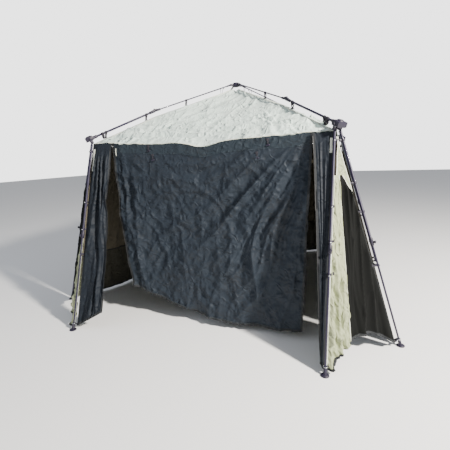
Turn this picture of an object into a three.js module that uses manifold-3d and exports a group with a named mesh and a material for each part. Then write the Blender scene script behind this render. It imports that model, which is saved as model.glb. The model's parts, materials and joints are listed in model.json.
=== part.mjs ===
// A screen house 12 ft (3658 mm) square over its feet. Four roof arms fold down from a crown,
// each arm has an elbow, and each corner hub carries two splayed telescopic legs. The fabric
// hangs inside and below the poles: a canopy, three walls, four corner panels, two front strips
// and a slack front curtain. Millimetres, +Z up, the front faces -Y, and the origin is on the
// ground under the crown.

import * as THREE from "three";
import { mergeVertices } from "three/addons/utils/BufferGeometryUtils.js";
import Module from "manifold-3d";

const wasm = await Module();
wasm.setup();

// ---------------------------------------------------------------- driving dimensions
const FOOTPRINT = 3658; // 12 ft, from the left feet to the right feet
const HUB_HALF = 1250; // the corner hubs stand on a square with this half side
const HUB_Z = 1900; // height of a roof tube's axis at its corner hub
const CROWN_PIN_Z = 2540; // height of the crown's four hinge pins
const CROWN_PIN_R = 70; // their distance from the centre line
const FOOT_FAR = FOOTPRINT / 2; // a foot's larger and smaller distance from the centre planes
const FOOT_NEAR = 1225;

const ROD_R = 7; // upper roof member, a glass-fibre rod
const TUBE_R = 11; // lower roof member and upper leg, steel tube
const LOWER_LEG_R = 8.5; // lower leg, which slides in the upper one
const BORE_R = 9.2; // inside of the upper leg
const GAP = 0.3; // running and seating clearance

const ELBOW_FROM_HUB = 780; // along the straight line from corner hub to crown
const ELBOW_ARCH = 33; // how far the arm arches above that line at the elbow
const ELBOW_PIN_LIFT = 17; // the elbow's pin stands this far above the tubes' axes
const LEG_PIN_DROP = 38; // a leg's pin hangs this far under the roof tube's axis
const LEG_PIN_SIDE = 26; // and this far to either side of it
const LEG_SPLIT = 1020; // from a leg's pin to the mouth of its upper tube
const FOLDED_SPLAY = 0.02; // share of its length by which a folded leg still leans aside
const LEG_OVERLAP = 120; // lower leg inside the upper leg when it stands at full height

const EAVE_HALF = 1235; // the canopy's edge is a square with this half side
const CANOPY_DROP = 62; // the canopy's ridges hang this far under the poles
const EAVE_SAG = 40; // the eave's middle hangs this far under its corners
const PANEL_SAG = 25; // a roof panel's middle line hangs this far under a straight line
const CLOTH = 3; // thickness that stands for the cloth

const ROUND = 10; // sides of a tube

// ---------------------------------------------------------------- materials
const finish = (color, roughness, metalness) =>
  new THREE.MeshStandardMaterial({ color, roughness, metalness, side: THREE.DoubleSide });
const MOULDED = finish(0x26232b, 0.55, 0.0);
const STEEL = finish(0x2b2a33, 0.4, 0.6);
const GLASS_FIBRE = finish(0x33303d, 0.5, 0.0);
const ROOF_CLOTH = finish(0xe3efe4, 0.85, 0.0);
const WALL_CLOTH = finish(0x3a4a52, 0.9, 0.0);
const CORNER_CLOTH = finish(0xd5dac2, 0.9, 0.0);

// ---------------------------------------------------------------- solids
const v3 = (x, y, z) => new THREE.Vector3(x, y, z);

function solidOf(geometry) {
  const bare = geometry.clone();
  bare.deleteAttribute("normal");
  bare.deleteAttribute("uv");
  const merged = mergeVertices(bare, 1e-4);
  const mesh = new wasm.Mesh({
    numProp: 3,
    vertProperties: merged.attributes.position.array,
    triVerts: new Uint32Array(merged.index.array),
  });
  return new wasm.Manifold(mesh);
}

function geometryOf(solid) {
  const mesh = solid.getMesh();
  const geometry = new THREE.BufferGeometry();
  geometry.setAttribute("position", new THREE.BufferAttribute(mesh.vertProperties, 3));
  geometry.setIndex(new THREE.BufferAttribute(mesh.triVerts, 1));
  return geometry;
}

function join(...geometries) {
  return geometryOf(geometries.map(solidOf).reduce((a, b) => a.add(b)));
}

function cut(geometry, ...tools) {
  return geometryOf(tools.map(solidOf).reduce((a, b) => a.subtract(b), solidOf(geometry)));
}

// A cylinder, or a cone with a second radius, between two points.
function rod(from, to, radius, sides = ROUND, endRadius = radius) {
  const along = to.clone().sub(from);
  const geometry = new THREE.CylinderGeometry(endRadius, radius, along.length(), sides);
  const turn = new THREE.Quaternion().setFromUnitVectors(v3(0, 1, 0), along.clone().normalize());
  geometry.applyQuaternion(turn);
  const middle = from.clone().add(to).multiplyScalar(0.5);
  return geometry.translate(middle.x, middle.y, middle.z);
}

// The radius of a bore whose flats clear a shaft.
const boreFor = (shaft, sides = ROUND) => (shaft + GAP) / Math.cos(Math.PI / sides);

function block(low, high) {
  const size = high.clone().sub(low);
  const middle = high.clone().add(low).multiplyScalar(0.5);
  return new THREE.BoxGeometry(size.x, size.y, size.z).translate(middle.x, middle.y, middle.z);
}

// A block with its long edges rounded, lying along X.
function softBlock(low, high, radius) {
  const [y0, y1, z0, z1] = [low.y, high.y, low.z, high.z];
  const outline = new THREE.Shape();
  outline.moveTo(y0 + radius, z0);
  outline.lineTo(y1 - radius, z0);
  outline.quadraticCurveTo(y1, z0, y1, z0 + radius);
  outline.lineTo(y1, z1 - radius);
  outline.quadraticCurveTo(y1, z1, y1 - radius, z1);
  outline.lineTo(y0 + radius, z1);
  outline.quadraticCurveTo(y0, z1, y0, z1 - radius);
  outline.lineTo(y0, z0 + radius);
  outline.quadraticCurveTo(y0, z0, y0 + radius, z0);
  const depth = high.x - low.x;
  const geometry = new THREE.ExtrudeGeometry(outline, {
    depth,
    bevelEnabled: false,
    curveSegments: 2,
  });
  const turn = new THREE.Matrix4().makeBasis(v3(0, 1, 0), v3(0, 0, 1), v3(1, 0, 0));
  return geometry.applyMatrix4(turn).translate(low.x, 0, 0);
}

// A solid of revolution about +X from a closed outline of [along, radius] pairs.
function turned(outline, sides = ROUND) {
  const points = outline.map(([along, radius]) => new THREE.Vector2(radius, along));
  const geometry = new THREE.LatheGeometry(points, sides);
  return faceOut(geometry.rotateZ(-Math.PI / 2));
}

function signedVolume(geometry) {
  const at = geometry.attributes.position;
  const index = geometry.index.array;
  const [a, b, c] = [v3(0, 0, 0), v3(0, 0, 0), v3(0, 0, 0)];
  let total = 0;
  for (let i = 0; i < index.length; i += 3) {
    a.fromBufferAttribute(at, index[i]);
    b.fromBufferAttribute(at, index[i + 1]);
    c.fromBufferAttribute(at, index[i + 2]);
    total += a.dot(b.cross(c)) / 6;
  }
  return total;
}

function faceOut(geometry) {
  if (signedVolume(geometry) >= 0) return geometry;
  const index = geometry.index.array;
  for (let i = 0; i < index.length; i += 3) {
    [index[i + 1], index[i + 2]] = [index[i + 2], index[i + 1]];
  }
  return geometry;
}

// A closed sheet of cloth. point(a, b) gives its middle surface for a and b from 0 to 1.
function cloth(point, across, down, facing) {
  const half = facing.clone().normalize().multiplyScalar(CLOTH / 2);
  const corners = [];
  for (const side of [1, -1]) {
    for (let j = 0; j <= down; j += 1) {
      for (let i = 0; i <= across; i += 1) {
        const p = point(i / across, j / down).addScaledVector(half, side);
        corners.push(p.x, p.y, p.z);
      }
    }
  }
  const row = across + 1;
  const back = row * (down + 1);
  const faces = [];
  const quad = (a, b, c, d) => faces.push(a, b, c, a, c, d);
  for (let j = 0; j < down; j += 1) {
    for (let i = 0; i < across; i += 1) {
      const k = j * row + i;
      quad(k, k + 1, k + row + 1, k + row);
      quad(back + k, back + k + row, back + k + row + 1, back + k + 1);
    }
  }
  const rim = [];
  for (let i = 0; i < across; i += 1) rim.push(i);
  for (let j = 0; j < down; j += 1) rim.push(j * row + across);
  for (let i = across; i > 0; i -= 1) rim.push(down * row + i);
  for (let j = down; j > 0; j -= 1) rim.push(j * row);
  rim.forEach((k, i) => {
    const next = rim[(i + 1) % rim.length];
    quad(k, k + back, next + back, next);
  });
  const geometry = new THREE.BufferGeometry();
  geometry.setAttribute("position", new THREE.Float32BufferAttribute(corners, 3));
  geometry.setIndex(faces);
  return faceOut(geometry);
}

function mesh(name, geometry, material) {
  const made = new THREE.Mesh(geometry, material);
  made.name = name;
  return made;
}

// ---------------------------------------------------------------- the arm's geometry
// In an arm's own plane X is outwards from the centre line and Z is up.
const crownPin = v3(CROWN_PIN_R, 0, CROWN_PIN_Z);
const hubPoint = v3(HUB_HALF * Math.SQRT2, 0, HUB_Z);
const chord = crownPin.clone().sub(hubPoint).normalize();
const elbow = hubPoint
  .clone()
  .addScaledVector(chord, ELBOW_FROM_HUB)
  .addScaledVector(v3(chord.z, 0, -chord.x), ELBOW_ARCH);
const rodReach = elbow.distanceTo(crownPin);
const rodSlope = Math.asin((crownPin.z - elbow.z) / rodReach);
const elbowPin = elbow
  .clone()
  .addScaledVector(v3(Math.sin(rodSlope), 0, Math.cos(rodSlope)), ELBOW_PIN_LIFT);
const pinToHub = hubPoint.clone().sub(elbowPin);
const tubeReach = Math.sqrt(pinToHub.lengthSq() - ELBOW_PIN_LIFT ** 2);
const tubeSlope = Math.asin(-pinToHub.z / pinToHub.length()) - Math.atan(ELBOW_PIN_LIFT / tubeReach);
const tubeUp = v3(Math.sin(tubeSlope), 0, Math.cos(tubeSlope));

const footOut = (FOOT_FAR + FOOT_NEAR) / Math.SQRT2;
const footAside = (FOOT_FAR - FOOT_NEAR) / Math.SQRT2;

// A leg's pin, foot, direction and hinge axis. Folded, the leg hangs nearly plumb while the hub
// lies on its back, leaning aside by just enough that the two feet of a corner pass each other.
// The hinge axis is the one that brings it there without twisting it.
function legLine(side) {
  const pin = hubPoint.clone().addScaledVector(tubeUp, -LEG_PIN_DROP);
  pin.y = side * LEG_PIN_SIDE;
  const foot = v3(footOut, side * footAside, 0);
  const along = foot.clone().sub(pin).normalize();
  const folded = v3(-Math.cos(rodSlope), side * FOLDED_SPLAY, Math.sin(rodSlope)).normalize();
  const axis = v3(-(along.y - folded.y) / (along.x - folded.x), 1, 0).normalize();
  return { pin, foot, along, axis, length: foot.distanceTo(pin) };
}

const CORNERS = [
  { key: "fl", azimuth: 225, legs: { 1: "front", "-1": "side" } },
  { key: "fr", azimuth: 315, legs: { 1: "side", "-1": "front" } },
  { key: "br", azimuth: 45, legs: { 1: "back", "-1": "side" } },
  { key: "bl", azimuth: 135, legs: { 1: "side", "-1": "back" } },
];

// ---------------------------------------------------------------- crown
const EYE_R = 9;
const EYE_HALF = 7;
const PIN_R = 3;
const CHEEK = 5;

function crownHub() {
  const z = CROWN_PIN_Z;
  const outline = [
    [z - 20, 0],
    [z - 20, 30],
    [z - 14, 50],
    [z + 12, 50],
    [z + 16, 44],
    [z + 16, 0],
  ];
  const drum = turned(outline, 16).rotateY(-Math.PI / 2);
  const parts = [drum];
  for (const { azimuth } of CORNERS) {
    for (const side of [-1, 1]) {
      const y = side * (EYE_HALF + GAP + CHEEK / 2);
      const low = v3(36, y - CHEEK / 2, z - 12);
      const arm = block(low, v3(CROWN_PIN_R + 12, y + CHEEK / 2, z + 12));
      parts.push(arm.rotateZ(THREE.MathUtils.degToRad(azimuth)));
    }
    const reach = EYE_HALF + GAP + CHEEK + 3;
    const pin = rod(v3(CROWN_PIN_R, -reach, z), v3(CROWN_PIN_R, reach, z), PIN_R, 8);
    parts.push(pin.rotateZ(THREE.MathUtils.degToRad(azimuth)));
  }
  return join(...parts);
}

function crownCap() {
  const z = CROWN_PIN_Z + 16 + GAP;
  const outline = [
    [z, 0],
    [z, 44],
    [z + 5, 43],
    [z + 11, 34],
    [z + 14, 20],
    [z + 15, 0],
  ];
  return turned(outline, 16).rotateY(-Math.PI / 2);
}

// ---------------------------------------------------------------- roof rod and elbow
const TONGUE_R = 9;
const TONGUE_HALF = 5;
const KNUCKLE_CLEAR = TONGUE_R + 1;
const SOCKET_LENGTH = 68;
const BUTT_GAP = 1.5; // each knuckle half stops short of the pin, as the arm kinks at the elbow

// The glass-fibre rod with its moulded eye at the crown and tongue at the elbow. Its origin is
// the crown's pin and it lies along X.
function roofRod() {
  const eye = rod(v3(0, -EYE_HALF, 0), v3(0, EYE_HALF, 0), EYE_R);
  const ferrule = turned([
    [4, 0],
    [4, 6.5],
    [16, 6.5],
    [22, 9.5],
    [58, 9.5],
    [62, ROD_R],
    [rodReach - SOCKET_LENGTH - 4, ROD_R],
    [rodReach - SOCKET_LENGTH, 12],
    [rodReach - BUTT_GAP, 12],
    [rodReach - BUTT_GAP, 0],
  ]);
  const pin = v3(rodReach, 0, ELBOW_PIN_LIFT);
  const side = v3(0, 1, 0);
  const tongueEnds = [-1, 1].map((s) => pin.clone().addScaledVector(side, s * TONGUE_HALF));
  const web = block(
    v3(rodReach - 34, -TONGUE_HALF, 0),
    v3(rodReach - BUTT_GAP, TONGUE_HALF, ELBOW_PIN_LIFT),
  );
  const body = join(eye, ferrule, web);
  const relief = [-1, 1].map((s) =>
    rod(
      pin.clone().addScaledVector(side, s * (TONGUE_HALF + GAP)),
      pin.clone().addScaledVector(side, s * 30),
      KNUCKLE_CLEAR,
    ),
  );
  const cleared = cut(body, ...relief);
  const bores = [
    rod(v3(0, -20, 0), v3(0, 20, 0), boreFor(PIN_R, 8), 8),
    rod(v3(pin.x, -20, pin.z), v3(pin.x, 20, pin.z), boreFor(PIN_R, 8), 8),
  ];
  return cut(join(cleared, rod(...tongueEnds, TONGUE_R)), ...bores);
}

// The fork half of the elbow, on the end of the roof tube. Its origin is the elbow's pin and the
// tube's axis lies along X, ELBOW_PIN_LIFT below it.
function elbowFork() {
  const z = -ELBOW_PIN_LIFT;
  const inner = TONGUE_HALF + GAP;
  const outer = inner + CHEEK;
  const sleeve = rod(v3(BUTT_GAP, 0, z), v3(SOCKET_LENGTH, 0, z), 15);
  const webs = block(v3(BUTT_GAP, -outer, z), v3(36, outer, 0));
  const relief = rod(v3(0, -inner, 0), v3(0, inner, 0), KNUCKLE_CLEAR);
  const slot = block(v3(-1, -inner, -KNUCKLE_CLEAR), v3(KNUCKLE_CLEAR, inner, 2));
  const bore = rod(v3(24, 0, z), v3(SOCKET_LENGTH + 5, 0, z), boreFor(TUBE_R));
  const body = cut(join(sleeve, webs), relief, slot, bore);
  const ears = [-1, 1].map((s) =>
    rod(v3(0, s * inner, 0), v3(0, s * outer, 0), TONGUE_R),
  );
  const pin = rod(v3(0, -outer - 2.5, 0), v3(0, outer + 2.5, 0), PIN_R, 8);
  return join(body, ...ears, pin);
}

// The lower roof member, from the elbow's fork to the corner hub, in the elbow pin's frame.
const HUB_BORE_END = 22; // the tube stops this far short of the hub's centre
function roofTube() {
  const z = -ELBOW_PIN_LIFT;
  return rod(v3(24 + GAP, 0, z), v3(tubeReach - HUB_BORE_END - GAP, 0, z), TUBE_R);
}

// ---------------------------------------------------------------- corner hub
const BARREL_HALF = 11;
const BARREL_R = 12;
const LEG_PIN_R = 4;
const HUB_TOP = 26;
const HUB_UNDER = 21;
const CHEEK_TOP = 30; // a cheek runs from this far above its pin
const CHEEK_FOOT = 13; // to this far below it

// Its origin is the elbow's pin, as for the roof tube, so that the hub turns with the tube.
function cornerHub() {
  const x = tubeReach;
  const z = -ELBOW_PIN_LIFT;
  const parts = [
    softBlock(v3(x - 30, -48, z - HUB_UNDER), v3(x + 46, 48, z + HUB_TOP), 12),
    rod(v3(x - 78, 0, z), v3(x - 20, 0, z), 16.5),
    rod(v3(x + 6, 0, z + HUB_TOP - 4), v3(x + 6, 0, z + HUB_TOP + 8), 32, 16, 25),
    rod(v3(x + 2, -60, z), v3(x + 2, 60, z), 11, 8),
  ];
  for (const side of [-1, 1]) {
    const { axis } = legLine(side);
    const pin = v3(x, side * LEG_PIN_SIDE, z - LEG_PIN_DROP);
    // the hinge axis in the tube's frame, and the cheeks' upward direction, square to it
    const hinge = axis.clone().applyAxisAngle(v3(0, 1, 0), -tubeSlope);
    const up = v3(0, 0, 1).addScaledVector(hinge, -hinge.z).normalize();
    const at = (along, lift) =>
      pin.clone().addScaledVector(hinge, along).addScaledVector(up, lift);
    for (const face of [-1, 1]) {
      const near = face * (BARREL_HALF + GAP);
      const far = face * (BARREL_HALF + GAP + CHEEK);
      const plate = new THREE.BoxGeometry(26, CHEEK, CHEEK_TOP + CHEEK_FOOT);
      const middle = at((near + far) / 2, (CHEEK_TOP - CHEEK_FOOT) / 2);
      const forward = new THREE.Vector3().crossVectors(hinge, up);
      const basis = new THREE.Matrix4().makeBasis(forward, hinge, up).setPosition(middle);
      parts.push(plate.applyMatrix4(basis));
    }
    const reach = BARREL_HALF + GAP + CHEEK + 2;
    parts.push(rod(at(-reach, 0), at(reach, 0), LEG_PIN_R, 8));
  }
  const bore = rod(v3(x - 90, 0, z), v3(x - HUB_BORE_END, 0, z), boreFor(TUBE_R));
  return cut(join(...parts), bore);
}

// ---------------------------------------------------------------- legs
// A leg's frame has its origin at the pin and X along the leg, and its Y is the hinge axis
// as nearly as that allows.
function legFrame(line) {
  const x = line.along;
  const z = new THREE.Vector3().crossVectors(x, line.axis).normalize();
  const y = new THREE.Vector3().crossVectors(z, x);
  return new THREE.Matrix4().makeBasis(x, y, z).setPosition(line.pin);
}

function upperLeg(line) {
  const inLeg = legFrame(line).invert();
  const axis = line.axis.clone().transformDirection(inLeg);
  const end = (s) => axis.clone().multiplyScalar(s * BARREL_HALF);
  const barrel = rod(end(-1), end(1), BARREL_R);
  const neck = block(v3(4, -7, -8), v3(34, 7, 8));
  const tube = turned([
    [24, 0],
    [24, TUBE_R],
    [LEG_SPLIT - 74, TUBE_R],
    [LEG_SPLIT - 66, 16],
    [LEG_SPLIT - 30, 17],
    [LEG_SPLIT - 6, 16],
    [LEG_SPLIT, 13],
    [LEG_SPLIT, BORE_R],
    [70, BORE_R],
    [70, 0],
  ]);
  const wide = boreFor(LEG_PIN_R, 8);
  const bore = rod(axis.clone().multiplyScalar(-30), axis.clone().multiplyScalar(30), wide, 8);
  return cut(join(barrel, neck, tube), bore);
}

const FOOT_SEAT = 16; // the lower leg ends this far above the ground, along the leg

function lowerLeg(line) {
  return rod(
    v3(LEG_SPLIT - LEG_OVERLAP, 0, 0),
    v3(line.length - FOOT_SEAT - GAP, 0, 0),
    LOWER_LEG_R,
  );
}

// A moulded foot with a flat sole and a sleeve that follows the leg. Its origin is the ground
// point of the leg's axis.
function foot(line) {
  const back = line.along.clone().negate();
  const at = (d) => back.clone().multiplyScalar(d);
  const sole = turned(
    [
      [0, 0],
      [0, 34],
      [7, 33],
      [14, 22],
      [18, 0],
    ],
    12,
  ).rotateY(-Math.PI / 2);
  const sleeve = rod(at(10), at(62), 14.5, ROUND, 12.5);
  return cut(join(sole, sleeve), rod(at(FOOT_SEAT), at(80), boreFor(LOWER_LEG_R)));
}

// ---------------------------------------------------------------- canopy
// Height of an arm's axis at a distance from the centre line.
function poleHeight(out) {
  if (out <= crownPin.x) return crownPin.z;
  if (out <= elbow.x) return crownPin.z - Math.tan(rodSlope) * (out - crownPin.x);
  return elbow.z + ((hubPoint.z - elbow.z) * (out - elbow.x)) / (hubPoint.x - elbow.x);
}

const ridgeHeight = (u) => poleHeight(u * EAVE_HALF * Math.SQRT2) - CANOPY_DROP;

// Height of the canopy over a point of the plan.
function canopyHeight(x, y) {
  const far = Math.max(Math.abs(x), Math.abs(y));
  const near = Math.min(Math.abs(x), Math.abs(y));
  const u = Math.min(far / EAVE_HALF, 1);
  const toRidge = far > 0 ? near / far : 1;
  const top = ridgeHeight(0);
  const eave = ridgeHeight(1) - EAVE_SAG;
  const middle = top + (eave - top) * u - PANEL_SAG * Math.sin(Math.PI * u);
  return middle + (ridgeHeight(u) - middle) * toRidge ** 1.6;
}

const ELBOW_SHARE = elbow.x / (EAVE_HALF * Math.SQRT2);
const SEAM_HALF = 2; // half of the gap between two canopy pieces
const APEX_SHARE = 0.03;

// One quarter of the canopy under an arm, between two shares of the way from apex to eave.
function canopyPiece(azimuth, from, to) {
  const turn = THREE.MathUtils.degToRad(azimuth);
  const signX = Math.sign(Math.cos(turn));
  const signY = Math.sign(Math.sin(turn));
  const point = (a, b) => {
    const far = EAVE_HALF * (from + (to - from) * b);
    const swing = 2 * a - 1;
    const near = Math.max(far * (1 - Math.abs(swing)), SEAM_HALF);
    const x = signX * (swing > 0 ? far : near);
    const y = signY * (swing > 0 ? near : far);
    return v3(x, y, canopyHeight(x, y));
  };
  return cloth(point, 8, 3, v3(0, 0, 1));
}

// ---------------------------------------------------------------- walls
const WALL_TOP_GAP = 14; // walls hang this far under the canopy's edge
const WALL_HALF = 1232; // distance of a wall's top from the centre plane
const SEAM_FROM_LEG = 38; // a wall's side seam runs this far inside its leg
const HEM_Z = 26;
const mix = THREE.MathUtils.lerp;

// How far out a slanted front or side seam stands at a height, beside its leg.
function seamOut(z) {
  return mix(FOOT_FAR - SEAM_FROM_LEG, WALL_HALF, z / HUB_Z);
}

// A wall between two legs, drawn for the back: its middle hangs slack, further in than its seams.
const WALL_SLACK = 380; // how far the middle of the hem hangs inside the line between the feet
function wallPoint(a, b) {
  const side = mix(-1, 1, a);
  const along = side * mix(HUB_HALF - 40, FOOT_NEAR - 20, b);
  const top = canopyHeight(along, EAVE_HALF) - WALL_TOP_GAP;
  const z = mix(top, HEM_Z, b);
  const out = seamOut(z) - WALL_SLACK * (1 - Math.abs(side) ** 2.4) * b ** 1.3;
  return v3(along, out, z);
}

function wall(turns) {
  const point = (a, b) => wallPoint(a, b).applyAxisAngle(v3(0, 0, 1), (turns * Math.PI) / 2);
  const facing = v3(0, 1, 0.25).applyAxisAngle(v3(0, 0, 1), (turns * Math.PI) / 2);
  return cloth(point, 8, 4, facing);
}

// A front strip beside its leg, from the outer seam to the zip's edge.
function frontStrip(side, zipTop, zipFoot, hemAtZip, bend) {
  const point = (a, b) => {
    const outer = mix(HUB_HALF - 40, FOOT_NEAR - 14, b);
    const inner = mix(zipTop, zipFoot, b ** bend);
    const across = mix(outer, inner, a);
    const top = canopyHeight(across, -EAVE_HALF) - WALL_TOP_GAP;
    const z = mix(top, mix(HEM_Z, hemAtZip, a), b);
    return v3(side * across, -seamOut(z), z);
  };
  return cloth(point, 3, 6, v3(0, -1, 0.25));
}

// The front curtain, unzipped down both sides, hangs from the eave with its hem raised at the left.
const CURTAIN = { topLeft: -972, topRight: 1036, footLeft: -792, footRight: 990 };
function curtain() {
  const point = (a, b) => {
    const left = mix(CURTAIN.topLeft, CURTAIN.footLeft, b ** 1.7);
    const right = mix(CURTAIN.topRight, CURTAIN.footRight, b);
    const x = mix(left, right, a);
    const hem = a < 0.7 ? 62 + 268 * (1 - a / 0.7) ** 1.8 : 62 + 90 * (a - 0.7);
    const z = mix(canopyHeight(x, -EAVE_HALF) - WALL_TOP_GAP, hem, b);
    const y = -WALL_HALF - mix(70, 140, a) * b ** 1.3;
    return v3(x, y, z);
  };
  return cloth(point, 10, 6, v3(0, -1, 0));
}

// The panel between the two legs of a corner, in the arm's own frame.
const CORNER_TOP = 1790;
const CORNER_HEM_ARCH = 170;
function cornerPanel() {
  const { pin, foot: sole } = legLine(1);
  const share = (z) => (pin.z - z) / pin.z;
  const point = (a, b) => {
    const side = 2 * a - 1;
    const hem = HEM_Z + CORNER_HEM_ARCH * (1 - side * side);
    const z = mix(CORNER_TOP, hem, b);
    const legAside = mix(pin.y, sole.y, share(z));
    const out = mix(pin.x, sole.x, share(z)) - 12;
    return v3(out, side * Math.max(legAside - 48, 6), z);
  };
  return cloth(point, 4, 6, v3(1, 0, 0.2));
}

// ---------------------------------------------------------------- assembly
const house = new THREE.Group();
house.add(mesh("crown_hub", crownHub(), MOULDED));
house.add(mesh("crown_cap", crownCap(), MOULDED));

for (const { key, azimuth, legs } of CORNERS) {
  const arm = new THREE.Group();
  arm.rotation.z = THREE.MathUtils.degToRad(azimuth);
  house.add(arm);

  const rodMesh = mesh(`roof_rod_${key}`, roofRod(), GLASS_FIBRE);
  rodMesh.position.copy(crownPin);
  rodMesh.rotation.y = rodSlope;
  arm.add(rodMesh);

  const lower = new THREE.Group();
  lower.position.copy(elbowPin);
  lower.rotation.y = tubeSlope;
  lower.add(mesh(`elbow_fork_${key}`, elbowFork(), MOULDED));
  lower.add(mesh(`roof_tube_${key}`, roofTube(), STEEL));
  lower.add(mesh(`corner_hub_${key}`, cornerHub(), MOULDED));
  arm.add(lower);

  for (const side of [1, -1]) {
    const line = legLine(side);
    const leg = new THREE.Group();
    leg.applyMatrix4(legFrame(line));
    leg.add(mesh(`leg_upper_${key}_${legs[side]}`, upperLeg(line), STEEL));
    leg.add(mesh(`leg_lower_${key}_${legs[side]}`, lowerLeg(line), STEEL));
    arm.add(leg);
    const footMesh = mesh(`foot_${key}_${legs[side]}`, foot(line), MOULDED);
    footMesh.position.copy(line.foot);
    arm.add(footMesh);
  }

  const panel = mesh(`corner_panel_${key}`, cornerPanel(), CORNER_CLOTH);
  arm.add(panel);
  const seamGap = SEAM_HALF / EAVE_HALF;
  const inner = canopyPiece(azimuth, APEX_SHARE, ELBOW_SHARE - seamGap);
  const outer = canopyPiece(azimuth, ELBOW_SHARE + seamGap, 1);
  house.add(mesh(`canopy_inner_${key}`, inner, ROOF_CLOTH));
  house.add(mesh(`canopy_outer_${key}`, outer, ROOF_CLOTH));
}

house.add(mesh("wall_back", wall(0), WALL_CLOTH));
house.add(mesh("wall_left", wall(1), WALL_CLOTH));
house.add(mesh("wall_right", wall(-1), WALL_CLOTH));
house.add(mesh("front_strip_left", frontStrip(-1, 988, 922, 190, 1), WALL_CLOTH));
house.add(mesh("front_strip_right", frontStrip(1, 1052, 1190, 60, 0.85), WALL_CLOTH));
house.add(mesh("front_curtain", curtain(), WALL_CLOTH));

export default house;
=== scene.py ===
import json
import math

import bmesh
import bpy
import numpy as np
from mathutils import Matrix, Vector


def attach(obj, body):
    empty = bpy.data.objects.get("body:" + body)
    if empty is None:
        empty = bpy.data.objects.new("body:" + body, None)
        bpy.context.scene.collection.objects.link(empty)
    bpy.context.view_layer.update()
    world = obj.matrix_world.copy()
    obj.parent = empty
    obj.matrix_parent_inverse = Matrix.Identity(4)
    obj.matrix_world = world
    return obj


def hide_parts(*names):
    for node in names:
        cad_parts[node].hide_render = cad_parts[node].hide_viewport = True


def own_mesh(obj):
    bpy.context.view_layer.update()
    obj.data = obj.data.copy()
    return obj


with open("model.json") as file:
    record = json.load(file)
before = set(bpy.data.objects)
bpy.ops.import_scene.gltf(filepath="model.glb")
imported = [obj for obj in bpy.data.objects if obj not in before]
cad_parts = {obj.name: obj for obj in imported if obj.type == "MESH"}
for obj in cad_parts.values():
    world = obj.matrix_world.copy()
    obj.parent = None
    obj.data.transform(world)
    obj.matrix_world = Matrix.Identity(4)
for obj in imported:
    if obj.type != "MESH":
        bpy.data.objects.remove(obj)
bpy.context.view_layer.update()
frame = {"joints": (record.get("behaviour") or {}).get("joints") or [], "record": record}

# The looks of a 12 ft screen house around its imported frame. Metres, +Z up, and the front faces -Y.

JOINTS = {joint["name"]: joint for joint in frame["joints"]}

# ---------------------------------------------------------------- camera
CAMERA_PLACE = (1.296, -4.164, 1.663)
CAMERA_YAW = math.radians(19.88)  # to the left of +Y
CAMERA_PITCH = math.radians(-11.66)
CAMERA_ROLL = math.radians(-1.91)
CAMERA_LENS = 26.2  # mm on a 36 mm sensor


def make_camera():
    data = bpy.data.cameras.new("camera")
    data.lens = CAMERA_LENS
    data.sensor_width = 36.0
    camera = bpy.data.objects.new("camera", data)
    level = math.cos(CAMERA_PITCH)
    ahead = Vector((-math.sin(CAMERA_YAW) * level, math.cos(CAMERA_YAW) * level, math.sin(CAMERA_PITCH)))
    right = Vector((math.cos(CAMERA_YAW), math.sin(CAMERA_YAW), 0))
    up = right.cross(ahead)
    tilted = right * math.cos(CAMERA_ROLL) + up * math.sin(CAMERA_ROLL)
    turn = Matrix((tilted, ahead.cross(tilted) * -1, ahead * -1)).transposed()
    camera.matrix_world = Matrix.Translation(CAMERA_PLACE) @ turn.to_4x4()
    bpy.context.collection.objects.link(camera)
    bpy.context.scene.camera = camera


make_camera()


# ---------------------------------------------------------------- materials
def linear(code):
    """A hex sRGB colour as linear RGBA."""
    parts = [int(code[i:i + 2], 16) / 255 for i in (0, 2, 4)]
    return [c / 12.92 if c <= 0.04045 else ((c + 0.055) / 1.055) ** 2.4 for c in parts] + [1.0]


def add(tree, kind, links=(), **settings):
    """Adds a node. A setting is an attribute of the node, or an input's name with _ for spaces."""
    made = tree.nodes.new(kind)
    for name, value in settings.items():
        if hasattr(made, name):
            setattr(made, name, value)
        else:
            made.inputs[name.replace("_", " ")].default_value = value
    for name, source in dict(links).items():
        tree.links.new(source, made.inputs[name])
    return made


def ramp(tree, source, low, high, colours):
    """A colour ramp between two positions of a value."""
    made = add(tree, "ShaderNodeValToRGB", {"Fac": source})
    ends = made.color_ramp.elements
    ends[0].position, ends[1].position = low, high
    ends[0].color, ends[1].color = colours
    return made.outputs["Color"]


WAVE = math.pi / 10  # a wave texture of scale 1 repeats after this many metres


def crossed(tree, place, pitch, operation):
    """Two sets of waves a pitch apart, one across the other, put together by a math operation."""
    across, along = [
        add(tree, "ShaderNodeTexWave", {"Vector": place}, Scale=WAVE / pitch, bands_direction=way)
        for way in ("X", "Y")
    ]
    sources = {0: across.outputs["Fac"], 1: along.outputs["Fac"]}
    return add(tree, "ShaderNodeMath", sources, operation=operation).outputs[0]


def spread(tree, source, low, high):
    """A value from 0..1 moved to low..high."""
    made = add(tree, "ShaderNodeMapRange", {"Value": source}, To_Min=low, To_Max=high)
    return made.outputs["Result"]


def new_material(name):
    made = bpy.data.materials.new(name)
    made.use_nodes = True
    tree = made.node_tree
    tree.nodes.clear()
    output = add(tree, "ShaderNodeOutputMaterial")
    shader = add(tree, "ShaderNodeBsdfPrincipled")
    tree.links.new(shader.outputs["BSDF"], output.inputs["Surface"])
    return made, tree, shader


THREAD = 0.0016  # drawn pitch of a cloth's threads: the real 0.1 mm wouldn't show
NET_PITCH = 0.009  # drawn pitch of the netting: the real 1.2 mm wouldn't show
RIB = 0.003  # pitch of the ribs across a narrow tape


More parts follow.
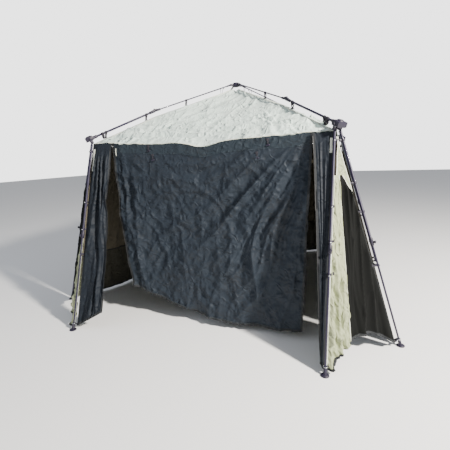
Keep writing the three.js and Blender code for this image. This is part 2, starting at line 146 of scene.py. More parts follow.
def woven(name, colour, shade, rough, crumple, sheen=0.15, close=1.0):
    """Coated polyester: a fine plain weave, creases (closer together for close > 1) and slow changes
    of tone."""
    made, tree, shader = new_material(name)
    place = add(tree, "ShaderNodeTexCoord").outputs["UV"]
    tone = add(tree, "ShaderNodeTexNoise", {"Vector": place}, Scale=3.2, Detail=5.0, Roughness=0.6)
    fine = add(tree, "ShaderNodeTexNoise", {"Vector": place}, Scale=46.0, Detail=4.0, Distortion=0.7)
    mixed = add(tree, "ShaderNodeMath", {0: tone.outputs["Fac"], 1: fine.outputs["Fac"]}, operation="ADD")
    mixed = spread(tree, mixed.outputs[0], 0.0, 0.5)
    colours = ramp(tree, mixed, 0.32, 0.68, (linear(shade), linear(colour)))
    tree.links.new(colours, shader.inputs["Base Color"])
    tree.links.new(spread(tree, tone.outputs["Fac"], *rough), shader.inputs["Roughness"])
    weave = crossed(tree, place, 2 * THREAD, "MULTIPLY")
    ridges = [
        add(
            tree, "ShaderNodeTexNoise", {"Vector": place}, noise_type="RIDGED_MULTIFRACTAL", Scale=scale,
            Detail=detail, Distortion=0.9, Roughness=0.6, normalize=True,
        ).outputs["Fac"]
        for scale, detail in ((5.5 * close, 2.0), (15.0 * close, 3.0))
    ]
    large = add(tree, "ShaderNodeBump", {"Height": ridges[0]}, Strength=crumple, Distance=0.030)
    first = add(
        tree, "ShaderNodeBump", {"Height": ridges[1], "Normal": large.outputs["Normal"]},
        Strength=crumple, Distance=0.020,
    )
    second = add(
        tree, "ShaderNodeBump", {"Height": weave, "Normal": first.outputs["Normal"]},
        Strength=0.25, Distance=0.0004,
    )
    tree.links.new(second.outputs["Normal"], shader.inputs["Normal"])
    shader.inputs["IOR"].default_value = 1.46
    shader.inputs["Specular IOR Level"].default_value = 0.35
    shader.inputs["Sheen Weight"].default_value = sheen
    shader.inputs["Sheen Roughness"].default_value = 0.45
    return made


def netting(name, colour, hole_shade):
    """Knitted insect net: fine threads, with painted shade in the holes between them."""
    made, tree, shader = new_material(name)
    place = add(tree, "ShaderNodeTexCoord").outputs["UV"]
    net = crossed(tree, place, NET_PITCH, "MAXIMUM")
    tone = add(tree, "ShaderNodeTexNoise", {"Vector": place}, Scale=4.0, Detail=5.0)
    mixed = add(tree, "ShaderNodeMath", {0: net, 1: tone.outputs["Fac"]}, operation="MULTIPLY")
    # painted shade: the holes take the near-black second colour, standing in for the dark inside seen through
    # the net
    colours = ramp(tree, mixed.outputs[0], 0.15, 0.65, (linear(hole_shade), linear(colour)))
    tree.links.new(colours, shader.inputs["Base Color"])
    bump = add(tree, "ShaderNodeBump", {"Height": net}, Strength=0.3, Distance=0.0008)
    tree.links.new(bump.outputs["Normal"], shader.inputs["Normal"])
    tree.links.new(spread(tree, tone.outputs["Fac"], 0.75, 0.9), shader.inputs["Roughness"])
    shader.inputs["Specular IOR Level"].default_value = 0.15
    return made


def webbed(name, colour, shade):
    """Woven narrow tape: close ribs across its length, with painted shade in the grooves between them."""
    made, tree, shader = new_material(name)
    place = add(tree, "ShaderNodeTexCoord").outputs["UV"]
    ribs = add(tree, "ShaderNodeTexWave", {"Vector": place}, Scale=WAVE / RIB, bands_direction="X")
    wear = add(tree, "ShaderNodeTexNoise", {"Vector": place}, Scale=60.0, Detail=3.0)
    sources = {0: ribs.outputs["Fac"], 1: wear.outputs["Fac"]}
    mixed = add(tree, "ShaderNodeMath", sources, operation="MULTIPLY")
    # painted shade: the colour moves to the second colour in the grooves between the ribs, where the bump is
    # low, and the noise adds random tone
    colours = ramp(tree, mixed.outputs[0], 0.1, 0.6, (linear(shade), linear(colour)))
    tree.links.new(colours, shader.inputs["Base Color"])
    bump = add(tree, "ShaderNodeBump", {"Height": ribs.outputs["Fac"]}, Strength=0.4, Distance=0.0006)
    tree.links.new(bump.outputs["Normal"], shader.inputs["Normal"])
    tree.links.new(spread(tree, wear.outputs["Fac"], 0.7, 0.9), shader.inputs["Roughness"])
    return made


def hard(name, colour, shade, rough, grain, bump, metal=0.0, coat=0.0, wear=None):
    """A hard finish: base tone, fine grain in millimetres, and edges rubbed lighter where given."""
    made, tree, shader = new_material(name)
    place = add(tree, "ShaderNodeTexCoord").outputs["Object"]
    speck = add(tree, "ShaderNodeTexNoise", {"Vector": place}, Scale=1.0 / grain, Detail=3.0, Roughness=0.6)
    blotch = add(tree, "ShaderNodeTexNoise", {"Vector": place}, Scale=14.0, Detail=5.0, Roughness=0.65)
    colours = ramp(tree, blotch.outputs["Fac"], 0.3, 0.7, (linear(shade), linear(colour)))
    if wear:
        edge = add(tree, "ShaderNodeNewGeometry").outputs["Pointiness"]
        rubbed = add(tree, "ShaderNodeMapRange", {"Value": edge}, From_Min=0.62, From_Max=0.80)
        mixed = tree.nodes.new("ShaderNodeMix")
        mixed.data_type = "RGBA"
        tree.links.new(rubbed.outputs["Result"], mixed.inputs[0])
        tree.links.new(colours, mixed.inputs[6])
        mixed.inputs[7].default_value = linear(wear)
        colours = mixed.outputs[2]
    tree.links.new(colours, shader.inputs["Base Color"])
    tree.links.new(spread(tree, blotch.outputs["Fac"], *rough), shader.inputs["Roughness"])
    rise = {"Strength": bump, "Distance": grain * 0.3}
    height = add(tree, "ShaderNodeBump", {"Height": speck.outputs["Fac"]}, **rise)
    tree.links.new(height.outputs["Normal"], shader.inputs["Normal"])
    shader.inputs["Metallic"].default_value = metal
    shader.inputs["Coat Weight"].default_value = coat
    return made


# PU-coated roof polyester: pale mint, thin, with sharp small creases. Its inner face is duller.
ROOF_CLOTH = woven("coated_roof_polyester", "e6f3ed", "b3c7be", (0.5, 0.7), crumple=1.15)
ROOF_LINING = woven("roof_polyester_inside", "8f9a86", "7d8877", (0.5, 0.7), crumple=0.4)
# Wall polyester, coated and piece-dyed: dark blue, brownish where it is rubbed, nearly without shine.
DARK = {"rough": (0.60, 0.78), "crumple": 0.75, "sheen": 0.03}
CURTAIN_CLOTH = woven("dark_wall_polyester", "182735", "1d2025", **DARK)
HEADER_CLOTH = woven("header_polyester", "1e2d38", "1f2429", **DARK)
STRIP_CLOTH = woven("dark_strip_polyester", "111c28", "10151c", (0.58, 0.75), crumple=0.7, sheen=0.02)
# The same cloth's uncoated inner face: olive brown and dull. The skirt under it is darker.
INNER_CLOTH = woven("olive_wall_lining", "6a6455", "524d41", (0.7, 0.9), crumple=0.5)
SKIRT_CLOTH = woven("olive_skirt", "45443a", "33322a", (0.6, 0.8), crumple=0.6)
# Light corner polyester: cream green, heavily creased.
CORNER_CLOTH = woven("pale_corner_polyester", "b4ba98", "7c8361", (0.5, 0.7), crumple=1.0, close=2.2)
# Knitted polyester netting: charcoal and dull, its holes painted near black as painted shade of the inside
# seen through them.
NET = netting("charcoal_netting", "0d0f0e", "040505")
# Woven narrow tapes and spun thread: ribbed and matt. Their second colour is painted shade in the grooves
# between the ribs, mixed with random tone.
WEBBING = webbed("black_webbing", "2b2933", "17151d")
HEM_TAPE = webbed("dark_hem_binding", "1f2429", "101316")
PALE_TAPE = webbed("pale_tape", "e8ebdf", "c8cdbf")
SEWING_THREAD = webbed("sewing_thread", "55606a", "3c454d")
# Glass-filled nylon mouldings: satin, with a fine spark-eroded grain and rubbed edges.
NYLON = hard("moulded_nylon", "1f1930", "141021", (0.42, 0.6), 0.0009, 0.35, wear="3b3647")
# Powder-coated steel tube: near black with a violet cast, slight orange peel, a soft highlight.
POWDER_COAT = hard("powder_coated_steel", "251e3c", "19152a", (0.42, 0.55), 0.0022, 0.18, metal=0.1, coat=0.1)
# Pultruded glass-fibre rod: dark, satin, faintly grained.
GLASS_FIBRE = hard("pultruded_glass_fibre", "29223f", "1c182c", (0.42, 0.55), 0.0015, 0.2, coat=0.1)
# Zinc-plated rivets, rings and buckle bars: bright points on the dark frame.
ZINC = hard("zinc_plate", "c9ccd0", "a9adb3", (0.25, 0.4), 0.0012, 0.15, metal=1.0)
# Acetal zip coil: dark grey, satin.
ZIP = hard("zip_coil", "24272b", "15171a", (0.4, 0.55), 0.0008, 0.2)


# ---------------------------------------------------------------- meshes
def unit(vectors):
    vectors = np.asarray(vectors, float)
    return vectors / np.maximum(np.linalg.norm(vectors, axis=-1, keepdims=True), 1e-12)


class Piece:
    """Gathers solids for one object."""

    def __init__(self, *materials):
        self.materials = materials
        self.points, self.uvs, self.normals = [], [], []
        self.faces, self.slots, self.smooth = [], [], []
        self.count = 0

    def solid(self, points, faces, slots=0, smooth=True, uvs=None, normals=None):
        points = np.asarray(points, float).reshape(-1, 3)
        faces = [tuple(int(k) + self.count for k in face) for face in faces]
        self.points.append(points)
        self.uvs.append(points[:, :2] if uvs is None else np.asarray(uvs, float).reshape(-1, 2))
        self.normals.append(np.zeros_like(points) if normals is None else np.asarray(normals).reshape(-1, 3))
        self.faces += faces
        self.slots += list(slots) if hasattr(slots, "__len__") else [slots] * len(faces)
        self.smooth += list(smooth) if hasattr(smooth, "__len__") else [smooth] * len(faces)
        self.count += len(points)

    def made(self, name, body):
        mesh = bpy.data.meshes.new(name)
        points = np.concatenate(self.points)
        mesh.from_pydata(points.tolist(), [], self.faces)
        for material in self.materials:
            mesh.materials.append(material)
        mesh.polygons.foreach_set("material_index", self.slots)
        mesh.polygons.foreach_set("use_smooth", self.smooth)
        corners = np.zeros(len(mesh.loops), int)
        mesh.loops.foreach_get("vertex_index", corners)
        layer = mesh.uv_layers.new(name="UVMap")
        layer.data.foreach_set("uv", np.concatenate(self.uvs)[corners].ravel())
        normals = np.concatenate(self.normals)
        if np.abs(normals).sum() > 0:
            mesh.normals_split_custom_set(normals[corners].tolist())
        mesh.update()
        made = bpy.data.objects.new(name, mesh)
        bpy.context.collection.objects.link(made)
        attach(made, body)
        return made


def sheet_normals(points, facing):
    along = np.gradient(points, axis=1)
    down = np.gradient(points, axis=0)
    normals = unit(np.cross(along, down))
    return normals if np.sum(normals * np.asarray(facing)) > 0 else -normals


CLOTH = 0.0022  # drawn thickness of a cloth, with its coating and the air in its folds


def shell(piece, points, uvs, facing, slots=(0, 0), own_normals=None, rows=None):
    """A closed sheet on a grid of points. slots are the outer and inner face's materials, and rows
    gives an outer and inner material for each row of faces where they change down the sheet."""
    down, across = points.shape[0] - 1, points.shape[1] - 1
    normals = sheet_normals(points, facing) if own_normals is None else own_normals
    half = normals * CLOTH / 2
    sides = np.concatenate([(points + half).reshape(-1, 3), (points - half).reshape(-1, 3)])
    row, back = across + 1, (across + 1) * (down + 1)
    k = (np.arange(down)[:, None] * row + np.arange(across)[None, :]).ravel()
    quads = np.stack([k, k + 1, k + row + 1, k + row], axis=1)
    edge = np.concatenate([
        np.arange(across), np.arange(down) * row + across,
        down * row + np.arange(across, 0, -1), np.arange(down, 0, -1) * row,
    ])
    after = np.roll(edge, -1)
    rim = np.stack([edge, edge + back, after + back, after], axis=1)
    along = np.gradient(points, axis=1)
    straight = np.sum(np.cross(along, np.gradient(points, axis=0)) * normals) > 0
    outer, inner = (quads, quads[:, ::-1] + back) if straight else (quads[:, ::-1], quads + back)
    rim = rim if straight else rim[:, ::-1]
    faces = np.concatenate([outer, inner, rim])
    if rows is None:
        kinds = [slots[0]] * len(quads) + [slots[1]] * len(quads)
    else:
        kinds = [rows[j][0] for j in range(down) for _ in range(across)]
        kinds += [rows[j][1] for j in range(down) for _ in range(across)]
    kinds += [slots[0]] * len(rim)
    smooth = [True] * (2 * len(quads)) + [False] * len(rim)
    both = np.concatenate([uvs.reshape(-1, 2)] * 2)
    turned = None
    if own_normals is not None:
        turned = np.concatenate([normals.reshape(-1, 3), -normals.reshape(-1, 3)])
    piece.solid(sides, faces.tolist(), kinds, smooth, both, turned)


def run_along(line):
    """The distance along a line at each of its points."""
    return np.concatenate([[0], np.cumsum(np.linalg.norm(np.diff(line, axis=0), axis=1))])


def tape(piece, line, facing, width, thick=0.0016, slot=0):
    """Flat tape along a line, its face towards facing, with rounded edges."""
    line = np.asarray(line, float)
    ahead = unit(np.gradient(line, axis=0))
    facing = np.broadcast_to(np.asarray(facing, float), line.shape)
    side = unit(np.cross(facing, ahead))
    face = unit(np.cross(ahead, side))
    outline = [(-0.5, 0), (-0.46, 0.5), (0.46, 0.5), (0.5, 0), (0.46, -0.5), (-0.46, -0.5)]
    rings = np.stack([line + side * (w * width) + face * (t * thick) for w, t in outline], axis=1)
    run = run_along(line)
    uvs = np.stack([np.stack([run, np.full(len(line), w * width)], axis=1) for w, _ in outline], axis=1)
    faces = loop_faces(len(line), len(outline))
    piece.solid(rings, faces, slot, [False] * len(faces), uvs)


def loop_faces(count, sides, closed=False):
    """Faces of a tube of rings, with flat caps unless its ends meet."""
    faces = []
    for i in range(count if closed else count - 1):
        for j in range(sides):
            a, b = i * sides, (i + 1) % count * sides
            k = (j + 1) % sides
            faces.append((a + j, a + k, b + k, b + j)[::-1])
    if not closed:
        faces.append(tuple(range(sides)))
        faces.append(tuple((count - 1) * sides + j for j in range(sides))[::-1])
    return faces


SKEW = (0.37, 0.91, 0.13)  # a direction that no bar here has, from which its rings start


def circle(x, y, sides):
    """Angles and points of a unit circle in the plane of x and y."""
    angle = np.linspace(0, 2 * math.pi, sides, endpoint=False)
    return angle, x[..., None, :] * np.cos(angle)[:, None] + y[..., None, :] * np.sin(angle)[:, None]


def tube(piece, line, radius, sides=12, slot=0, closed=False):
    """A round bar along a line of points."""
    line = np.asarray(line, float)
    count = len(line)
    if closed:
        ahead = unit(np.roll(line, -1, 0) - np.roll(line, 1, 0))
    else:
        ahead = unit(np.gradient(line, axis=0))
    frames = [unit(np.cross(ahead[0], SKEW))]
    for i in range(1, count):
        carried = frames[-1] - ahead[i] * np.dot(frames[-1], ahead[i])
        frames.append(unit(carried))
    x = np.array(frames)
    angle, ring = circle(x, np.cross(ahead, x), sides)
    uvs = np.stack(np.broadcast_arrays(run_along(line)[:, None], angle[None] * radius), axis=2)
    faces = loop_faces(count, sides, closed)
    piece.solid(line[:, None] + ring * radius, faces, slot, [len(face) == 4 for face in faces], uvs)


def turned(piece, start, ahead, profile, sides=28, slot=0):
    """A solid of revolution from (distance, radius) pairs along a line. Sharp steps stay sharp."""
    start, ahead = np.asarray(start, float), unit(ahead)
    distances, radii = np.array(profile, float).T
    x = unit(np.cross(ahead, SKEW))
    angle, ring = circle(x, np.cross(ahead, x), sides)
    points = (start + ahead * distances[:, None])[:, None] + ring[None] * radii[:, None, None]
    uvs = np.stack(np.broadcast_arrays(distances[:, None], angle[None] * 0.01), axis=2)
    gentle = np.abs(np.diff(radii)) < 0.6 * np.abs(np.diff(distances))
    smooth = np.repeat(gentle, sides).tolist() + [False, False]
    piece.solid(points, loop_faces(len(profile), sides), slot, smooth, uvs)


ROUNDING = 0.25  # radius of a block's edges as a share of its thickness


def brick(piece, middle, x, y, z, size, slot=0):
    """A block with rounded corners, its sides along the unit vectors x, y and z."""
    bm = bmesh.new()
    bmesh.ops.create_cube(bm, size=1.0)
    bmesh.ops.scale(bm, vec=Vector(size), verts=bm.verts)
    bmesh.ops.bevel(
        bm, geom=bm.edges[:], offset=min(size) * ROUNDING, segments=2, profile=0.5, affect="EDGES"
    )
    axes = np.array([unit(x), unit(y), unit(z)])
    points = np.array([v.co[:] for v in bm.verts]) @ axes + np.asarray(middle)
    faces = [tuple(v.index for v in f.verts) for f in bm.faces]
    if np.linalg.det(axes) < 0:
        faces = [f[::-1] for f in faces]
    bm.free()
    piece.solid(points, faces, slot, True)


# ---------------------------------------------------------------- noise for folds
def ease(value, low, high):
    """0 at low and beyond it, 1 at high, with a soft change between."""
    t = np.clip((value - low) / (high - low), 0, 1)
    return t * t * (3 - 2 * t)


def noise(u, v, seed):
    """Gradient noise from about -1 to 1, the same each run."""
    table = np.random.default_rng(seed).uniform(0, 2 * math.pi, (64, 64))
    iu, iv = np.floor(u).astype(int), np.floor(v).astype(int)
    fu, fv = u - iu, v - iv
    total = 0
    wu, wv = fu ** 3 * (fu * (fu * 6 - 15) + 10), fv ** 3 * (fv * (fv * 6 - 15) + 10)
    for du in (0, 1):
        for dv in (0, 1):
            angle = table[(iu + du) % 64, (iv + dv) % 64]
            weight = (wu if du else 1 - wu) * (wv if dv else 1 - wv)
            total = total + weight * (np.cos(angle) * (fu - du) + np.sin(angle) * (fv - dv))
    return total * 1.5


def fold(u, v, seed):
    """Rounded ridges with narrow valleys, from about -0.5 to 0.5, as in slack cloth."""
    warp = 0.6 * noise(u * 0.5, v * 0.5 + 7.3, seed + 1)
    return 0.5 - 1.6 * np.abs(noise(u + warp, v, seed)) ** 0.8 + 0.2


def crumple(u, v, seed):
    """Sharp small creases, from about -0.45 up."""
    return np.abs(noise(u, v, seed)) + 0.5 * np.abs(noise(u * 2.1 + 5, v * 2.1, seed + 1)) - 0.45


def grid(across, down):
    """Shares of the way across and down a sheet at the points of its grid."""
    return np.meshgrid(np.linspace(0, 1, across + 1), np.linspace(0, 1, down + 1))


def mix(low, high, share):
    return low + (high - low) * share


# ---------------------------------------------------------------- the frame's lines
EAVE_HALF = 1.235  # the canopy's edge is a square with this half side
CANOPY_DROP = 0.062  # its ridges hang this far under the poles
EAVE_SAG = 0.040  # and the middle of an eave hangs this far under its corners
PANEL_SAG = 0.025
HUB_HALF = 1.250  # the corner hubs stand on a square with this half side
HUB_Z = 1.900
FOOT_FAR = 1.829  # a foot's place: far along the wall's outward way, and near across it
FOOT_NEAR = 1.225
ELBOW_PIN_LIFT = 0.017  # the elbow's pin stands this far above the tubes' axes
SEAM_FROM_LEG = 0.038
SEAM_HALF = HUB_HALF - 0.040  # the top of a slanted seam stands this far from the middle
WALL_HALF = 1.232
HEM_Z = 0.026  # the hems just clear the ground
ROD_R, TUBE_R, LOWER_LEG_R = 0.007, 0.011, 0.0085
LEG_SPLIT = 1.020  # from a leg's pin to the mouth of its upper tube

AZIMUTHS = {"fl": 225, "fr": 315, "br": 45, "bl": 135}
LEG_NAMES = {
    "fl": {1: "front", -1: "side"}, "fr": {1: "side", -1: "front"},
    "br": {1: "back", -1: "side"}, "bl": {1: "side", -1: "back"},
}


def in_arm(corner, points):
    """Points of an arm's frame (outwards, aside, up) in the house's frame."""
    t = math.radians(AZIMUTHS[corner])
    turn = [[math.cos(t), math.sin(t), 0], [-math.sin(t), math.cos(t), 0], [0, 0, 1]]
    return np.asarray(points, float) @ np.array(turn)


def signs_of(corner):
    """Which side of the house a corner is on, along X and along Y."""
    t = math.radians(AZIMUTHS[corner])
    return math.copysign(1, math.cos(t)), math.copysign(1, math.sin(t))


def plan(point):
    return math.hypot(point[0], point[1])


def pin_in_arm(joint):
    """A pin's distance out from the middle, and its height."""
    point = JOINTS[joint]["pos_m"]
    return plan(point), point[2]


def tangent(start, end):
    """Reach along a pole with a pin at one end that stands ELBOW_PIN_LIFT off its axis, and the
    downward slope of the straight line from start to end."""
    out, down = end[0] - start[0], start[1] - end[1]
    return math.sqrt(out ** 2 + down ** 2 - ELBOW_PIN_LIFT ** 2), math.atan2(down, out)


crown_pin, elbow_pin = pin_in_arm("crown_hinge_fl"), pin_in_arm("elbow_fl")
hub_point = (HUB_HALF * math.sqrt(2), HUB_Z)
rod_reach, rod_slope = tangent(crown_pin, elbow_pin)
rod_slope += math.atan(ELBOW_PIN_LIFT / rod_reach)
tube_reach, tube_slope = tangent(elbow_pin, hub_point)
tube_slope -= math.atan(ELBOW_PIN_LIFT / tube_reach)
elbow = (crown_pin[0] + rod_reach * math.cos(rod_slope), crown_pin[1] - rod_reach * math.sin(rod_slope))


def leg_line(corner, side):
    """A leg's name, pin and direction."""
    name = f"{corner}_{LEG_NAMES[corner][side]}"
    pin = np.array(JOINTS[f"leg_hinge_{name}"]["pos_m"], float)
    return name, pin, -np.array(JOINTS[f"leg_slide_{name}"]["axis"], float)


def pole_height(out):
    """Height of an arm's poles at a distance out from the middle."""
    return np.interp(out, *zip(crown_pin, elbow, hub_point))


def ridge_height(u):
    """Height of a canopy ridge at a share of the way from the middle to the eave."""
    return pole_height(u * EAVE_HALF * math.sqrt(2)) - CANOPY_DROP


def canopy_height(x, y):
    """Height of the canopy's plain shape over a point of the plan."""
    far, near = np.maximum(abs(x), abs(y)), np.minimum(abs(x), abs(y))
    u = np.minimum(far / EAVE_HALF, 1)
    to_ridge = near / np.maximum(far, 1e-9)
    top, eave = ridge_height(0.0), ridge_height(1.0) - EAVE_SAG
    middle = top + (eave - top) * u - PANEL_SAG * np.sin(math.pi * u)
    return middle + (ridge_height(u) - middle) * to_ridge ** 1.6


def canopy_relief(x, y):
    """Wrinkles of the canopy: fine and level near the eave, slanting by the corners, calm above."""
    x, y = np.broadcast_arrays(np.asarray(x, float), np.asarray(y, float))
    ax, ay = abs(x), abs(y)
    far, near = np.maximum(ax, ay), np.minimum(ax, ay)
    along = np.where(ax > ay, y, x)
    panel = np.where(ax > ay, np.where(x > 0, 1, 3), np.where(y > 0, 2, 0))
    s = along + 40 * panel
    u, r = far / EAVE_HALF, near / np.maximum(far, 1e-9)
    calm = 1 - ease(r, 0.90, 1.0)
    low = ease(u, 0.30, 0.85)
    level = 0.030 * low * fold(s * 1.1 + 0.8 * far, far * 13 + 0.5 * noise(s * 3, far * 4, 3), 11)
    level = level + 0.012 * low * fold(s * 2.4 + 2 * far, far * 24 + noise(s * 2, far * 3, 4), 12)
    corner = ease(r, 0.35, 0.75) * ease(u, 0.45, 0.85)
    lean = np.sign(along) * along
    slant = 0.036 * corner * fold((lean - 0.85 * far + 9 * panel) * 12, (far + lean) * 1.6, 13)
    broad = 0.016 * noise(s * 1.7, far * 2.3, 14) * (1 - 0.5 * low)
    pulls = 0.028 * fold(s * 5 + far * 3, far * 3.1, 15) * (1 - 0.6 * low)
    droop = -0.045 * np.exp(-((along - 0.02) / 0.17) ** 2) * ease(u, 0.86, 1.0) * (panel == 0)
    scallop = 0.006 * noise(s * 4.2, 0 * s + 0.5, 16) * ease(u, 0.85, 1.0)
    taut = 1 - 0.7 * ease(u, 0.92, 1.0)  # the hem runs straighter than the cloth above it
    return calm * (taut * (level + slant + pulls) + broad + scallop) + droop


def canopy_surface(x, y):
    return canopy_height(x, y) + canopy_relief(x, y)


def seam_out(z):
    """How far out a slanted side seam stands at a height, beside its leg."""
    return mix(FOOT_FAR - SEAM_FROM_LEG, WALL_HALF, z / HUB_Z)


TAPE_LIFT = CLOTH / 2 + 0.0007  # from the middle of a wall's cloth to the middle of the tape sewn on it
SEAM_LIFT = CLOTH / 2 + 0.0008  # the same on the roof and the corners
STITCH_LIFT = 0.0022
TEETH_LIFT = 0.0030


def gather(made):
    """Gives a piece its own copy of its mesh."""
    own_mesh(made)


def finish_cloth(made, replaced=(), on_it=()):
    """Hides the frame's parts that a cloth replaces, and gives the cloth and the trim sewn on it their own
    meshes.
    """
    if replaced:
        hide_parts(*replaced)
    for each in (made, *on_it):
        gather(each)


# ---------------------------------------------------------------- canopy
APEX_SHARE = 0.03  # the canopy starts this share of the way out, around the crown's stem
ELBOW_SHARE = elbow[0] / (EAVE_HALF * math.sqrt(2))
SLOPE_STEP = 0.004  # the surface's slope is taken over this distance to each side


def canopy_half(corner, part, panel, start, end, down):
    """One roof panel's share of an arm's canopy, from the ridge to the middle of the panel.
    panel is 1 for the panel that faces along X and -1 for the one that faces along Y."""
    a, b = grid(70, down)
    sign_x, sign_y = signs_of(corner)

    def place(share, u):
        far = EAVE_HALF * u
        near = far * (1 - share)
        return (sign_x * far, sign_y * near) if panel > 0 else (sign_x * near, sign_y * far)

    x, y = place(a, mix(start, end, b))
    points = np.stack([x, y, canopy_surface(x, y)], axis=2)
    slope_x = (canopy_surface(x + SLOPE_STEP, y) - canopy_surface(x - SLOPE_STEP, y)) / (2 * SLOPE_STEP)
    slope_y = (canopy_surface(x, y + SLOPE_STEP) - canopy_surface(x, y - SLOPE_STEP)) / (2 * SLOPE_STEP)
    normals = unit(np.stack([-slope_x, -slope_y, np.ones_like(x)], axis=2))
    word = "side" if panel > 0 else ("front" if sign_y < 0 else "back")
    body = f"roof_{'upper' if part == 'inner' else 'lower'}_{corner}"
    piece, trim = Piece(ROOF_CLOTH, ROOF_LINING), Piece(PALE_TAPE, HEM_TAPE)
    shell(piece, points, points[..., :2], (0, 0, 1), (0, 1), own_normals=normals)
    seam = points[:, 2] + normals[:, 2] * SEAM_LIFT
    tape(trim, seam, normals[:, 2], 0.014)
    if end == 1.0:
        hem = points[-1] + normals[-1] * SEAM_LIFT + (points[-3] - points[-1]) * 0.5
        tape(trim, hem, normals[-1], 0.020)
    made = piece.made(f"canopy_{part}_{word}_cloth_{corner}", body)
    sewn = trim.made(f"canopy_{part}_{word}_tapes_{corner}", body)
    finish_cloth(
        made,
        [f"canopy_{part}_{corner}"] if panel > 0 else [], on_it=[sewn],
    )


for key in AZIMUTHS:
    for panel in (1, -1):
        canopy_half(key, "inner", panel, APEX_SHARE, ELBOW_SHARE, 56)
        canopy_half(key, "outer", panel, ELBOW_SHARE, 1.0, 64)


# ---------------------------------------------------------------- walls
SKIRT_SEAM = 0.55  # height of the seam between a wall and its skirt
WALL_SLACK = 0.380  # how far the middle of a hem hangs inside the line between the feet
TOP_GAP = 0.003  # between a wall's top and the canopy


def wall_plain(a, b):
    """The back wall's plain shape: level coordinates along, out and up."""
    side = mix(-1, 1, a)
    along = side * mix(SEAM_HALF, FOOT_NEAR - 0.020, b)
    z = mix(canopy_height(along, EAVE_HALF), HEM_Z, b)
    out = seam_out(z) - WALL_SLACK * (1 - abs(side) ** 2.4) * b ** 1.3
    return along, out, z


def wall_relief(along, z, seed):
    """Long drapes, finer and finer folds on them, and a wavy skirt."""
    drop = ease(z, 1.84, 1.4)
    drape = 0.022 * fold(along * 5.5 + 0.4 * noise(along * 2, z * 2, seed), z * 0.7, seed + 1)
    small = 0.006 * fold(along * 13, z * 2.6, seed + 2)
    tiny = 0.004 * crumple(along * 11, z * 11, seed + 3)
    skirt = 0.010 * ease(z, 0.62, 0.2) * noise(along * 9, z * 3, seed + 4)
    return (drape + small) * (0.25 + 0.75 * drop) + tiny + skirt


STITCHED = []  # rows of stitches to be made: name, body, line, and an axis and anchor


def side_wall(name, body, quarter_turns, axis, anchor, seed):
    """A wall with a skirt, made as the back wall and turned round the house."""
    across, down = 150, 110
    a, b = grid(across, down)
    along, out, z = wall_plain(a, b)
    turn = math.radians(90 * quarter_turns)
    sideways = np.array([math.cos(turn), math.sin(turn), 0])
    outward = np.array([-math.sin(turn), math.cos(turn), 0])
    held = ease(abs(mix(-1, 1, a)), 1.0, 0.93) * ease(b, 0, 0.05)
    out = out + wall_relief(along, z, seed) * held
    points = along[..., None] * sideways + out[..., None] * outward + z[..., None] * np.array([0, 0, 1])
    top = canopy_surface(points[0, :, 0], points[0, :, 1]) - TOP_GAP
    points[:, :, 2] += (top - points[0, :, 2])[None] * (1 - b) ** 3
    rows = [(0, 1) if z[j, across // 2] > SKIRT_SEAM else (2, 3) for j in range(down)]
    piece = Piece(CURTAIN_CLOTH, INNER_CLOTH, CURTAIN_CLOTH, SKIRT_CLOTH)
    shell(piece, points, np.stack([along, z], axis=2), outward, rows=rows)
    trim = Piece(HEM_TAPE)
    normals = sheet_normals(points, outward)
    seam_row = int(np.argmin(abs(z[:, across // 2] - SKIRT_SEAM)))
    for row, width in ((seam_row, 0.016), (down, 0.022)):
        for face in (1, -1):
            line = points[row] + normals[row] * face * TAPE_LIFT
            line[:, 2] += 0.008 if row == down else 0
            tape(trim, line, normals[row] * face, width)
    made, sewn = piece.made(f"{name}_cloth", body), trim.made(f"{name}_binding", body)
    stitches = points[down] + normals[down] * STITCH_LIFT + (0, 0, 0.016)
    STITCHED.append((f"{name}_stitches", body, stitches, axis, anchor))
    finish_cloth(
        made, [name],
        on_it=[sewn],
    )


side_wall("wall_back", "leg_br_back", 0, (1, 0, 0), (1.21, 1.5, 1), 101)
side_wall("wall_left", "leg_bl_side", 1, (0, 1, 0), (-1.5, 1.21, 1), 121)
side_wall("wall_right", "leg_fr_side", -1, (0, 1, 0), (1.5, -1.21, 1), 141)


# ---------------------------------------------------------------- front strips and curtain
ZIPPED = []  # rows of zip teeth to be made, in the same way
ZIP_START = 4  # rows of cloth above the zip's first tooth


def meet_canopy(points, x, b):
    """Lifts the top of a cloth on the front to just under the canopy's wrinkled hem."""
    points[..., 2] += (canopy_relief(x, -EAVE_HALF) - TOP_GAP) * (1 - b) ** 3


